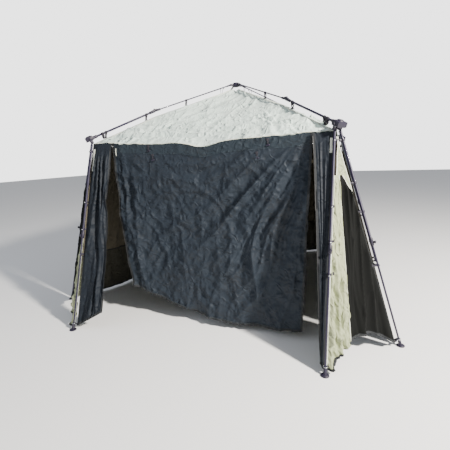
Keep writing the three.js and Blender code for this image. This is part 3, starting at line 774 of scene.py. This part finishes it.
def front_strip(side, zip_top, zip_foot, hem_at_zip, bend, slack, seed):
    """The fixed strip beside a front leg, from its outer seam to the edge that carries the zip."""
    down = 200
    a, b = grid(48, down)
    outer = mix(SEAM_HALF, FOOT_NEAR - 0.014, b)
    inner = mix(zip_top, zip_foot, b ** bend)
    x = side * mix(outer, inner, a)
    z = mix(canopy_height(x, -EAVE_HALF), mix(HEM_Z, hem_at_zip, a), b)
    free = ease(a, 0.0, 0.25) * ease(b, 0.0, 0.12)
    drape = 0.050 * fold(a * 3.1 + 0.35 * noise(a * 2, z * 1.5, seed), z * 0.8, seed + 1)
    small = 0.014 * fold(a * 7, z * 2.3, seed + 2) + 0.008 * crumple(x * 12, z * 9, seed + 3)
    points = np.stack([x, -seam_out(z) - free * (drape + small) * slack, z], axis=2)
    meet_canopy(points, x, b)
    piece, trim = Piece(STRIP_CLOTH, INNER_CLOTH), Piece(HEM_TAPE, PALE_TAPE)
    shell(piece, points, np.stack([x, z], axis=2), (0, -1, 0))
    normals = sheet_normals(points, (0, -1, 0))
    lift = normals * TAPE_LIFT
    tape(trim, points[:, -1] + lift[:, -1], normals[:, -1], 0.018)
    tape(trim, points[:, 1] + lift[:, 1], normals[:, 1], 0.012)
    tape(trim, points[-1] + lift[-1] + (0, 0, 0.008), normals[-1], 0.022)
    span = slice(int(0.03 * down), int((0.10 if side > 0 else 0.16) * down))
    tape(trim, points[span, 4] + lift[span, 4] * 3, normals[span, 4], 0.020, slot=1)
    corner = "fr" if side > 0 else "fl"
    word = "right" if side > 0 else "left"
    body, anchor = f"leg_{corner}_front", (side * 1.235, -1.5, 1)
    made = piece.made(f"front_strip_{word}_cloth", body)
    sewn = trim.made(f"front_strip_{word}_binding", body)
    teeth = (points[:, -1] + normals[:, -1] * TEETH_LIFT)[ZIP_START:] - (side * 0.008, 0, 0)
    ZIPPED.append((f"zip_teeth_strip_{word}", body, teeth, (1, 0, 0), anchor))
    finish_cloth(
        made,
        [f"front_strip_{word}"], on_it=[sewn],
    )


CURTAIN = {"top_left": -0.972, "top_right": 1.036, "foot_left": -0.792, "foot_right": 0.990}
CURTAIN_ANCHOR = (-1.235, -1.35, 1)
HEADER_Z = 1.715  # the lighter header band reaches down to here
PULL = (1.06, 1.92)  # the folds of the slack curtain fan out from here


def curtain_relief(x, z, left, b):
    """Folds that fan out from the pull, drapes that lean in from the free left edge, small folds all
    over, and the square creases left from the bag."""
    dx, dz = PULL[0] - x, PULL[1] - z
    reach, angle = np.hypot(dx, dz), np.arctan2(dz, dx)
    bent = angle + 0.10 * noise(x * 1.3, z * 1.3, 201)
    fan = 0.034 * fold(bent * 6.2, reach * 0.7, 202) + 0.013 * fold(bent * 13, reach * 1.5, 203)
    fan = fan * ease(reach, 0.08, 0.8) * ease(angle, 0.10, 0.35)
    drape = 0.022 * fold(x * 4.2 + 0.5 * z, z * 0.6, 204) * ease(b, 0.15, 0.8)
    edge = x - left
    lean = 0.023 * fold(edge * 7.5 + 0.3, z * 0.6, 205) * (1 - ease(edge, 0.1, 0.75)) * ease(b, 0.02, 0.3)
    small = 0.012 * fold(x * 7 + z * 3, z * 5, 206) + 0.011 * crumple(x * 9 - z * 3, z * 9, 207)
    creases = 0
    upright, level = x + 0.02 * noise(z * 3, x * 3, 208), z + 0.02 * noise(x * 3, z * 3, 209)
    for pitch, q in ((0.31, upright), (0.27, level)):
        off = np.abs((q / pitch + 0.5) % 1.0 - 0.5) * pitch
        creases = creases + 0.0032 * np.exp(-(off / 0.008) ** 2)
    sag = -0.02 * np.exp(-((x + 0.1) / 0.5) ** 2 - ((z - 1.0) / 0.5) ** 2)
    return fan + drape + lean + small * ease(b, 0.0, 0.2) + creases + sag


def curtain():
    """The slack front curtain, with its lighter header. Returns its points and normals."""
    across, down = 236, 200
    a, b = grid(across, down)
    left = mix(CURTAIN["top_left"], CURTAIN["foot_left"], b ** 1.7)
    right = mix(CURTAIN["top_right"], CURTAIN["foot_right"], b)
    x = mix(left, right, a)
    hem = np.where(a < 0.7, 0.062 + 0.268 * np.maximum(1 - a / 0.7, 0) ** 1.8, 0.062 + 0.090 * (a - 0.7))
    hem = hem + 0.012 * noise(a * 9, 0 * a, 220)
    z = mix(canopy_height(x, -EAVE_HALF), hem, b)
    y = -WALL_HALF - mix(0.070, 0.140, a) * b ** 1.3
    points = np.stack([x, y - curtain_relief(x, z, left, b) * ease(b, 0.0, 0.09), z], axis=2)
    meet_canopy(points, x, b)
    rows = [(2, 1) if z[j, across // 2] > HEADER_Z else (0, 1) for j in range(down)]
    piece, trim = Piece(CURTAIN_CLOTH, INNER_CLOTH, HEADER_CLOTH), Piece(HEM_TAPE, HEADER_CLOTH)
    shell(piece, points, np.stack([x, z], axis=2), (0, -1, 0), rows=rows)
    normals = sheet_normals(points, (0, -1, 0))
    lift = normals * TAPE_LIFT
    for column, way in ((0, 1), (across, -1)):
        tape(trim, points[:, column] + lift[:, column], normals[:, column], 0.018)
        teeth = (points[:, column] + normals[:, column] * TEETH_LIFT)[ZIP_START:] - (way * 0.010, 0, 0)
        ZIPPED.append((f"zip_teeth_curtain_{column}", "leg_fl_front", teeth, (1, 0, 0), CURTAIN_ANCHOR))
    tape(trim, points[-1] + lift[-1] + (0, 0, 0.009), normals[-1], 0.024)
    header_row = sum(kind == (2, 1) for kind in rows)
    tape(trim, points[header_row] + lift[header_row], normals[header_row], 0.012, slot=1)
    stitches = points[-1] + normals[-1] * STITCH_LIFT + (0, 0, 0.018)
    STITCHED.append(("curtain_stitches", "leg_fl_front", stitches, (1, 0, 0), CURTAIN_ANCHOR))
    made = piece.made("front_curtain_cloth", "leg_fl_front")
    sewn = trim.made("front_curtain_binding", "leg_fl_front")
    finish_cloth(
        made,
        ["front_curtain"], on_it=[sewn],
    )
    return points, normals


front_strip(-1, zip_top=0.988, zip_foot=0.922, hem_at_zip=0.190, bend=1, slack=1.0, seed=161)
front_strip(1, zip_top=1.052, zip_foot=1.190, hem_at_zip=0.060, bend=0.85, slack=0.18, seed=181)
CURTAIN_POINTS, CURTAIN_NORMALS = curtain()


# ---------------------------------------------------------------- corner panels
CORNER_SEAM = 1.49  # height of the seam above the netting
CORNER_TOP = 1.80
CORNER_HEM_ARCH = 0.170
WEDGE_FOOT = 1.33
LEGS_MEET = 1.865  # height at which a corner's two legs are closest
CORNER_BODY = {"fl": "leg_fl_side", "fr": "leg_fr_front", "br": "leg_br_side", "bl": "leg_bl_back"}


def faces_front(word):
    """1 for a leg at the front or back, and -1 for one at a side."""
    return 1 if word in ("front", "back") else -1


def corner_place(corner, t, z, lift=0.0):
    """A point of a corner panel: t aside of its middle, positive towards the front or back leg."""
    pin = leg_line("fr", 1)[1]
    share = (pin[2] - z) / pin[2]
    out = mix(plan(pin), (FOOT_FAR + FOOT_NEAR) / math.sqrt(2), share) - 0.012 + lift
    aside = t * faces_front(LEG_NAMES[corner][1])
    return in_arm(corner, np.stack(np.broadcast_arrays(out, aside, z), axis=-1))


def beside(corner, ahead):
    """The direction across a corner panel, square to one of its legs."""
    return unit(np.cross(ahead, unit(in_arm(corner, (1, 0, 0)))))


def corner_half(z):
    """Half of a corner panel's width at a height."""
    share = (LEGS_MEET - z) / LEGS_MEET
    return np.maximum(mix(0.026, (FOOT_FAR - FOOT_NEAR) / math.sqrt(2), share) - 0.048, 0.006)


def corner_piece(corner, word, bounds, top, foot, cells, relief, cloth, replaced=()):
    """One zone of a corner panel, between two edges given as functions of height. It ends in the
    arched hem where foot is None."""
    a, b = grid(*cells)
    low, high = bounds
    z = mix(top, foot or 0.0, b)
    for _ in range(4):  # the hem's height follows from t, which follows from the height
        side = np.clip(mix(low(z), high(z), a) / corner_half(z), -1, 1)
        z = mix(top, foot or HEM_Z + CORNER_HEM_ARCH * (1 - side * side), b)
    t = mix(low(z), high(z), a)
    points = corner_place(corner, t, z, relief(a, b, t, z))
    outward = in_arm(corner, (1, 0, 0.2))
    piece, trim = Piece(cloth, cloth), Piece(HEM_TAPE, PALE_TAPE)
    drawn = 0.4 if word == "strip" else 1.0  # the narrow strip creases along its length
    shell(piece, points, np.stack([t, z * drawn], axis=2), outward, (0, 1))
    normals = sheet_normals(points, outward)
    lift = normals * SEAM_LIFT
    if foot is None:
        tape(trim, points[-1] + lift[-1] + (0, 0, 0.008), normals[-1], 0.020)
    for column in (0, -1):
        side_slot = 0 if word == "net" else 1
        tape(trim, points[:, column] + lift[:, column], normals[:, column], 0.007, slot=side_slot)
    made = piece.made(f"corner_{word}_{corner}", CORNER_BODY[corner])
    sewn = trim.made(f"corner_{word}_binding_{corner}", CORNER_BODY[corner])
    finish_cloth(
        made, replaced,
        on_it=[sewn],
    )


def strip_edge(z):
    """Where the pale strip beside the front leg meets the netting."""
    return np.minimum(0.030 + 0.085 * np.maximum(CORNER_SEAM - z, 0) / 1.27, corner_half(z) - 0.004)


def net_edge(z):
    """The netting's other edge, with a pale wedge beyond it near the top."""
    return -np.minimum(0.005 + (CORNER_SEAM - z) * 0.55, corner_half(z))


def strip_relief(a, b, t, z):
    """Pleats down the strip, slanting folds where it is gathered at the foot, and creases."""
    low = ease(z, 0.95, 0.1)
    pleats = 0.034 * fold(a * 2.4, z * 1.3, 301) * (0.4 + 0.6 * low)
    slanting = 0.030 * low * fold((t + 0.8 * z) * 9, (z - t) * 3.0, 302)
    long = 0.024 * fold(t * 17 + z, z * 1.5, 304)
    small = (0.022 * crumple(t * 18, z * 5, 303) + long) * (0.5 + low)
    return (pleats + slanting + small) * ease(a, 1.0, 0.9) * ease(a, 0.0, 0.1) * ease(b, 0, 0.05)


def net_relief(a, b, t, z):
    """Soft upright folds of the netting."""
    hang = 0.044 * fold(t * 7 + 0.3 * z, z * 0.8, 311) + 0.012 * fold(t * 17, z * 2.3, 312)
    return hang * ease(a, 0.0, 0.15) * ease(a, 1.0, 0.85) * ease(b, 0, 0.1) - 0.002


def top_relief(a, b, t, z):
    """Slight folds of the small pieces at the top."""
    return 0.004 * fold(t * 20, z * 4, 321) * ease(b, 0, 0.2) * ease(b, 1, 0.8)


def leg_edge(way, more=0.0):
    """The panel's own edge on one side, which may reach a little further."""
    return lambda z: way * (corner_half(z) + more)


for key in AZIMUTHS:
    corner_piece(
        key, "strip", (leg_edge(1, 0.022), strip_edge), CORNER_SEAM, None, (40, 190), strip_relief,
        CORNER_CLOTH, [f"corner_panel_{key}"],
    )
    corner_piece(key, "net", (strip_edge, net_edge), CORNER_SEAM, None, (48, 120), net_relief, NET)
    corner_piece(
        key, "wedge", (net_edge, leg_edge(-1, 0.0008)), CORNER_SEAM, WEDGE_FOOT, (8, 30), top_relief,
        CORNER_CLOTH,
    )
    corner_piece(
        key, "top", (leg_edge(1), leg_edge(-1)), CORNER_TOP, CORNER_SEAM, (20, 50), top_relief, CORNER_CLOTH
    )


# ---------------------------------------------------------------- frame pieces
BODY_OF = {node: body for body, nodes in frame["record"]["behaviour"]["bodies"].items() for node in nodes}
SHARP = math.radians(38)  # edges sharper than this are moulded corners, the rest are round stretches
PROUD = 0.001  # what stands further than this off a bare tube is a moulding on it


def softened(node, main, trim=None, axis=None, tube_radius=0.0, width=0.0012):
    """A frame piece with its doubles merged and its sharp edges rounded by a width. Faces that stand
    proud of a bare tube along axis (a point and a direction) take the trim material."""
    mesh = bpy.data.objects[node].data.copy()
    mesh.name = f"{node}_rounded"
    mesh.materials.clear()
    for material in (main, trim or main):
        mesh.materials.append(material)
    bm = bmesh.new()
    bm.from_mesh(mesh)
    bmesh.ops.remove_doubles(bm, verts=bm.verts[:], dist=2e-5)
    bmesh.ops.dissolve_limit(bm, angle_limit=math.radians(1), verts=bm.verts[:], edges=bm.edges[:])
    corners = [e for e in bm.edges if len(e.link_faces) == 2 and e.calc_face_angle(0) > SHARP]
    bmesh.ops.bevel(
        bm, geom=corners, offset=width, segments=2, profile=0.6, affect="EDGES", clamp_overlap=True
    )
    for edge in bm.edges:
        edge.smooth = edge.calc_face_angle(0) < SHARP
    for face in bm.faces:
        face.smooth = True
        face.material_index = 0
        if axis is not None:
            start, ahead = Vector(axis[0]), Vector(axis[1]).normalized()
            reach = max((v.co - start).cross(ahead).length for v in face.verts)
            face.material_index = 1 if reach > tube_radius + PROUD else 0
    bm.to_mesh(mesh)
    bm.free()
    made = bpy.data.objects.new(f"{node}_rounded", mesh)
    bpy.context.collection.objects.link(made)
    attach(made, BODY_OF[node])
    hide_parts(node)


def along_arm(corner, slope):
    """The outward direction of a pole that slopes down by an angle."""
    return in_arm(corner, (math.cos(slope), 0, -math.sin(slope)))


softened("crown_hub", NYLON)
softened("crown_cap", NYLON)
for key in AZIMUTHS:
    rod_axis = (in_arm(key, (crown_pin[0], 0, crown_pin[1])), along_arm(key, rod_slope))
    softened(f"roof_rod_{key}", GLASS_FIBRE, NYLON, rod_axis, ROD_R, 0.0008)
    softened(f"elbow_fork_{key}", NYLON)
    softened(f"roof_tube_{key}", POWDER_COAT, width=0.0006)
    softened(f"corner_hub_{key}", NYLON)
    for way in (1, -1):
        leg_id, *leg_axis = leg_line(key, way)
        softened(f"leg_upper_{leg_id}", POWDER_COAT, NYLON, leg_axis, TUBE_R, 0.0008)
        softened(f"leg_lower_{leg_id}", POWDER_COAT, width=0.0006)
        softened(f"foot_{leg_id}", NYLON)


# ---------------------------------------------------------------- straps along the arms
UP = (0, 0, 1)
STRAP_WIDTH = 0.018
STRAP_OUTS = (0.666, 1.150, 1.600)  # where the straps sit on an arm, outwards from the crown


def sleeve(piece, middle, ahead, radius, width, thick, slot=0):
    """A band tight round a tube, with rolled edges."""
    half = width / 2
    profile = [
        (-half, radius * 0.9), (-half, radius + thick * 0.5), (-half * 0.8, radius + thick),
        (half * 0.8, radius + thick), (half, radius + thick * 0.5), (half, radius * 0.9),
    ]
    turned(piece, middle, ahead, profile, 20, slot)


def bowed(start, end, bow):
    """A line from start to end that bows by a vector at its middle."""
    t = np.linspace(0, 1, 9)[:, None]
    return mix(np.asarray(start, float), np.asarray(end, float), t) + np.asarray(bow) * 4 * t * (1 - t)


def buckle(piece, middle, x, y, z, size):
    """A two-bar ladder buckle: a rounded frame with a bright bar across it."""
    brick(piece, middle, x, y, z, size, 1)
    reach = unit(x) * size[0] * 0.42
    lift = unit(z) * size[2] * 0.55
    tube(piece, [middle - reach + lift, middle + reach + lift], size[2] * 0.28, 10, 2)


def on_pole(corner, out):
    return in_arm(corner, (out, 0, pole_height(out)))


def hanging_strap(piece, corner, out):
    """A strap from a pole down to the canopy's ridge: a sleeve, two tapes, a buckle and a sewn pad."""
    on_rod = out < elbow[0]
    slope, radius = (rod_slope, ROD_R) if on_rod else (tube_slope, TUBE_R)
    aside, ahead = in_arm(corner, (0, 1, 0)), along_arm(corner, slope)
    pole = on_pole(corner, out)
    ridge = in_arm(corner, (out + 0.008, 0, pole_height(out) - CANOPY_DROP + 0.001))
    sleeve(piece, pole, ahead, radius, STRAP_WIDTH + 0.004, 0.0035)
    for face in (aside, -aside):
        line = bowed(pole + face * radius, ridge + face * 0.003, face * 0.004)
        tape(piece, line, face, STRAP_WIDTH, 0.0022)
    buckle(piece, pole - (0, 0, radius + 0.010), ahead, UP, aside, (STRAP_WIDTH + 0.006, 0.016, 0.013))
    square = in_arm(corner, (math.sin(slope), 0, math.cos(slope)))
    brick(piece, ridge + (0, 0, 0.001), ahead, aside, square, (0.034, 0.026, 0.004))


def crown_tie(piece, corner, out, lean):
    """A thin cord tie from the rod to the ridge near the crown, with its knot."""
    pole = on_pole(corner, out)
    ridge = in_arm(corner, (out + lean, 0, pole_height(out + lean) - CANOPY_DROP))
    tube(piece, bowed(pole, ridge, in_arm(corner, (0.006, 0.004, 0))), 0.0022, 10)
    tube(piece, [pole - (0, 0, ROD_R + 0.004), pole - (0, 0, ROD_R + 0.012)], 0.0048, 12)


def eave_strap(piece, corner):
    """The wide strap that draws the canopy's corner out towards its hub."""
    aside, ahead = in_arm(corner, (0, 1, 0)), along_arm(corner, tube_slope)
    top = on_pole(corner, hub_point[0] - 0.130)
    tab = in_arm(corner, (EAVE_HALF * math.sqrt(2) - 0.120, 0, ridge_height(0.93) + 0.004))
    for face in (aside, -aside):
        tape(piece, bowed(top + face * TUBE_R, tab, face * 0.010), face, 0.022, 0.0024)
    sleeve(piece, top, ahead, TUBE_R, 0.026, 0.004)
    buckle(piece, mix(top, tab, 0.45), ahead, UP, aside, (0.030, 0.024, 0.016))


def arm_straps(corner):
    """Straps that hang the canopy's ridge from the two poles of an arm."""
    upper, lower = Piece(WEBBING, NYLON, ZINC), Piece(WEBBING, NYLON, ZINC)
    for out in STRAP_OUTS:
        hanging_strap(upper if out < elbow[0] else lower, corner, out)
    for out, lean in ((0.175, 0.020), (0.215, -0.004)):
        crown_tie(upper, corner, out, lean)
    eave_strap(lower, corner)
    if corner == "fr":  # this strap forks in two
        yoke = in_arm(corner, (1.097, 0, 2.105))
        for out, height in ((1.060, 2.128), (0.972, 2.068)):
            tube(lower, bowed(yoke, in_arm(corner, (out, 0, height)), (0, 0, -0.006)), 0.0024, 10)
    for piece, part in ((upper, "upper"), (lower, "lower")):
        piece.made(f"roof_{part}_straps_{corner}", f"roof_{part}_{corner}")


for key in AZIMUTHS:
    arm_straps(key)


# ---------------------------------------------------------------- clips, collars and loops on the legs
FRONT_CLIPS = (1.77, 1.25, 0.98, 0.73)
CLIP_HEIGHTS = {"front": FRONT_CLIPS, "side": (1.77, 1.42, 1.18, 0.72), "back": FRONT_CLIPS}
ANKLE_Z = 0.064  # the ring above a foot
LOOP_Z = HEM_Z + 0.014  # where its loops are sewn to the hems
LEVER = ((0, 0.0075), (0.006, 0.0075), (0.008, 0.012), (0.018, 0.0125), (0.021, 0.010), (0.022, 0.002))
RIVET = ((0, 0.005), (0.003, 0.005), (0.004, 0.003))
KNOB = ((0, 0.0055), (0.005, 0.0055), (0.0065, 0.0035), (0.0075, 0.0005))


def on_leg(pin, ahead, z):
    return pin + ahead * ((pin[2] - z) / -ahead[2])


def wall_seam(corner, word, z):
    """Where the wall beside a leg is sewn, at a height."""
    sign_x, sign_y = signs_of(corner)
    x, y = (SEAM_HALF, seam_out(z)) if faces_front(word) > 0 else (seam_out(z), SEAM_HALF)
    return np.array([sign_x * x, sign_y * y, z])


def panel_seam(corner, word, z, edge_z):
    """Where the corner panel beside a leg is sewn, at a height. Its edge is the one at edge_z."""
    t = np.array(faces_front(word) * corner_half(edge_z))
    return corner_place(corner, t, np.array(z)).reshape(3)


def tab(piece, centre, radius, seam, ahead, outward):
    """A webbing tab from a leg to a seam, with its hook and its sewn pad."""
    run = unit(seam - centre)
    start = centre + run * (radius + 0.001)
    face = unit(np.cross(run, ahead))
    face = face if np.dot(face, outward) > 0 else -face
    tape(piece, bowed(start, seam + run * 0.012, face * 0.003), face, 0.016, 0.0022)
    brick(piece, start + run * 0.010, run, ahead, face, (0.018, 0.020, 0.008), 1)
    brick(piece, seam + run * 0.008 + face * 0.002, run, ahead, face, (0.022, 0.026, 0.0036))


def hem_loops(leg_id, ankle, hems, ahead, outward):
    """A ring round the ankle, and a strap with a buckle from it to each hem."""
    loop = Piece(WEBBING, NYLON, ZINC)
    _, ring = circle(unit(np.cross(ahead, outward)), outward, 28)
    tube(loop, ankle + ring * 0.0155, 0.0026, 10, 2, closed=True)
    for hem in hems:
        run = unit(hem - ankle)
        tape(loop, bowed(ankle + run * 0.014, hem, (0, 0, 0.006)), outward, 0.020, 0.0026)
        middle = mix(ankle, hem, 0.55) + outward * 0.002
        buckle(loop, middle, run, np.cross(outward, run), outward, (0.026, 0.024, 0.009))
    loop.made(f"hem_loops_{leg_id}", f"shank_{leg_id}")


def leg_fittings(corner, side):
    """Clips with tabs to the wall and the corner panel, the collar's lever, and the foot's loops."""
    leg_id, pin, ahead = leg_line(corner, side)
    word, body = LEG_NAMES[corner][side], f"leg_{leg_id}"
    split = pin[2] + ahead[2] * LEG_SPLIT
    to_wall, to_corner, fixed = (Piece(WEBBING, NYLON, ZINC) for _ in range(3))
    outward = unit(in_arm(corner, (1, 0, 0)) + 0.6 * unit(in_arm(corner, (0, side, 0))))
    for z in CLIP_HEIGHTS[word]:
        centre = on_leg(pin, ahead, z)
        radius = TUBE_R if z > split else LOWER_LEG_R
        sleeve(fixed, centre, ahead, radius, 0.020, 0.0035, 1)
        turned(fixed, centre + outward * (radius + 0.002), outward, KNOB, 14, 2)
        tab(to_wall, centre, radius, wall_seam(corner, word, z), ahead, outward)
        tab(to_corner, centre, radius, panel_seam(corner, word, z, z), ahead, outward)
    collar = pin + ahead * (LEG_SPLIT - 0.036)
    turned(fixed, collar + outward * 0.0155, outward, LEVER, 20, 1)
    turned(fixed, collar - outward * 0.0165, -outward, RIVET, 14, 2)
    fixed.made(f"leg_clips_{leg_id}", body)
    wall_axis = (1, 0, 0) if faces_front(word) > 0 else (0, 1, 0)
    for piece, part, axis in ((to_wall, "wall", wall_axis), (to_corner, "corner", beside(corner, ahead))):
        made = piece.made(f"{part}_tabs_{leg_id}", body)
        gather(made)
    hems = (wall_seam(corner, word, LOOP_Z), panel_seam(corner, word, LOOP_Z, HEM_Z))
    hem_loops(leg_id, on_leg(pin, ahead, ANKLE_Z), hems, ahead, outward)


for key in AZIMUTHS:
    for way in (1, -1):
        leg_fittings(key, way)


# ---------------------------------------------------------------- toggles and ties on the front
def on_curtain(x, z):
    """The curtain's surface point and its outward normal at a place on the front."""
    off = (CURTAIN_POINTS[..., 0] - x) ** 2 + (CURTAIN_POINTS[..., 2] - z) ** 2
    row, column = np.unravel_index(np.argmin(off), off.shape)
    return CURTAIN_POINTS[row, column], CURTAIN_NORMALS[row, column]


TOGGLES = ((-0.559, 1.795), (-0.514, 1.703), (0.662, 1.800), (0.570, 1.691))
TOGGLE = ((0, 0.002), (0.002, 0.0055), (0.010, 0.0070), (0.020, 0.0050), (0.030, 0.0070), (0.038, 0.0055),
          (0.040, 0.002))


def front_toggles():
    """Roll-up ties, each a webbing loop on the header with a turned toggle, and one loose tape end."""
    piece = Piece(WEBBING, NYLON, PALE_TAPE)
    for x, z in TOGGLES:
        point, normal = on_curtain(x, z)
        down = unit(np.array([0.10, 0, -1]))
        across = unit(np.cross(normal, down))
        start = point + normal * 0.003
        tape(piece, bowed(start, start + down * 0.050, normal * 0.007), normal, 0.010, 0.002)
        low = start + down * 0.046
        tape(piece, bowed(start + across * 0.008, low + across * 0.004, normal * 0.005), normal, 0.005, 0.002)
        turned(piece, low + normal * 0.007 - across * 0.020, across, TOGGLE, 18, 1)
        brick(piece, start - down * 0.004, across, down, normal, (0.026, 0.020, 0.004))
    point, normal = on_curtain(-0.945, 1.79)
    end = point + normal * 0.004 - (0, 0, 0.075)
    tape(piece, bowed(point + normal * 0.003, end, normal * 0.006), normal, 0.012, 0.002, 2)
    made = piece.made("front_toggles", "leg_fl_front")
    gather(made)


front_toggles()


# ---------------------------------------------------------------- what repeats along a line
def beads_tree():
    """Small blocks at an even pitch along an edge line, turned to follow it."""
    tree = bpy.data.node_groups.new("beads_on_a_line", "GeometryNodeTree")
    tree.is_modifier = True
    kinds = {"Geometry": "Geometry", "Material": "Material"}
    kinds.update({label: "Float" for label in ("Pitch", "Length", "Width", "Height")})
    sockets = {
        label: tree.interface.new_socket(label, in_out="INPUT", socket_type=f"NodeSocket{kind}").identifier
        for label, kind in kinds.items()
    }
    tree.interface.new_socket("Geometry", in_out="OUTPUT", socket_type="NodeSocketGeometry")
    given = tree.nodes.new("NodeGroupInput").outputs
    line = add(tree, "GeometryNodeMeshToCurve", {"Mesh": given["Geometry"]}).outputs["Curve"]
    points = add(tree, "GeometryNodeCurveToPoints", {"Curve": line, "Length": given["Pitch"]}, mode="LENGTH")
    size = add(
        tree, "ShaderNodeCombineXYZ", {"X": given["Width"], "Y": given["Height"], "Z": given["Length"]}
    )
    bead = add(tree, "GeometryNodeMeshCube", {"Size": size.outputs["Vector"]})
    laid = {name: points.outputs[name] for name in ("Points", "Rotation")}
    placed = add(tree, "GeometryNodeInstanceOnPoints", {**laid, "Instance": bead.outputs["Mesh"]})
    real = add(tree, "GeometryNodeRealizeInstances", {"Geometry": placed.outputs["Instances"]})
    painted = add(
        tree, "GeometryNodeSetMaterial", {"Geometry": real.outputs["Geometry"], "Material": given["Material"]}
    )
    tree.links.new(painted.outputs["Geometry"], tree.nodes.new("NodeGroupOutput").inputs["Geometry"])
    return tree, sockets


BEADS, BEAD_SOCKETS = beads_tree()


def beaded(name, body, line, axis, anchor, material, **sizes):
    """Blocks along a line, as one plain mesh."""
    guide = bpy.data.objects.new("guide", bpy.data.meshes.new("guide"))
    guide.data.from_pydata([tuple(point) for point in line], [(k, k + 1) for k in range(len(line) - 1)], [])
    bpy.context.collection.objects.link(guide)
    modifier = guide.modifiers.new("beads", "NODES")
    modifier.node_group = BEADS
    for label, value in {**sizes, "Material": material}.items():
        modifier[BEAD_SOCKETS[label]] = value
    mesh = bpy.data.meshes.new_from_object(guide.evaluated_get(bpy.context.evaluated_depsgraph_get()))
    bpy.data.objects.remove(guide)
    mesh.name = name
    made = bpy.data.objects.new(name, mesh)
    bpy.context.collection.objects.link(made)
    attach(made, body)
    gather(made)


for row in STITCHED:  # 9 mm stitches, because the real 3 mm ones wouldn't show
    beaded(*row, SEWING_THREAD, Pitch=0.013, Length=0.009, Width=0.0022, Height=0.0022)
for row in ZIPPED:
    beaded(*row, ZIP, Pitch=0.006, Length=0.0034, Width=0.0070, Height=0.0026)


# ---------------------------------------------------------------- floor, light, finish
def stage():
    """A pale floor, a soft even room, and a white backdrop that only the camera sees."""
    bpy.ops.mesh.primitive_plane_add(size=60, location=(0, 0, -0.002))
    floor = bpy.context.object
    floor.name = "floor"
    made, tree, shader = new_material("pale_floor")
    grain = add(tree, "ShaderNodeTexNoise", Scale=2.0)
    colours = ramp(tree, grain.outputs["Fac"], 0.3, 0.7, (linear("f4f5f6"), linear("f8f8f8")))
    tree.links.new(colours, shader.inputs["Base Color"])
    shader.inputs["Roughness"].default_value = 0.9
    floor.data.materials.append(made)
    world = bpy.data.worlds.new("studio")
    bpy.context.scene.world = world
    world.use_nodes = True
    tree = world.node_tree
    room = tree.nodes["Background"]
    room.inputs["Color"].default_value = linear("f6f9ff")
    room.inputs["Strength"].default_value = 0.50
    backdrop = add(tree, "ShaderNodeBackground", Color=linear("ffffff"), Strength=3.0)
    seen = add(tree, "ShaderNodeLightPath").outputs["Is Camera Ray"]
    both = add(tree, "ShaderNodeMixShader", {0: seen, 1: room.outputs[0], 2: backdrop.outputs[0]})
    tree.links.new(both.outputs["Shader"], tree.nodes["World Output"].inputs["Surface"])


def soft_light(name, place, target, size, watts, colour):
    """A round area light that faces a target."""
    data = bpy.data.lights.new(name, "AREA")
    data.shape = "DISK"
    data.size = size
    data.energy = watts
    data.color = linear(colour)[:3]
    lamp = bpy.data.objects.new(name, data)
    lamp.location = place
    lamp.rotation_mode = "QUATERNION"
    lamp.rotation_quaternion = (Vector(target) - Vector(place)).to_track_quat("-Z", "Y")
    bpy.context.collection.objects.link(lamp)


stage()
soft_light("key", (6.2, -3.4, 5.2), (0.2, -0.6, 1.0), 0.6, 1900, "fff8ee")
soft_light("fill", (-6.0, -5.0, 3.5), (0, 0, 1.0), 4.0, 90, "e6f0ff")
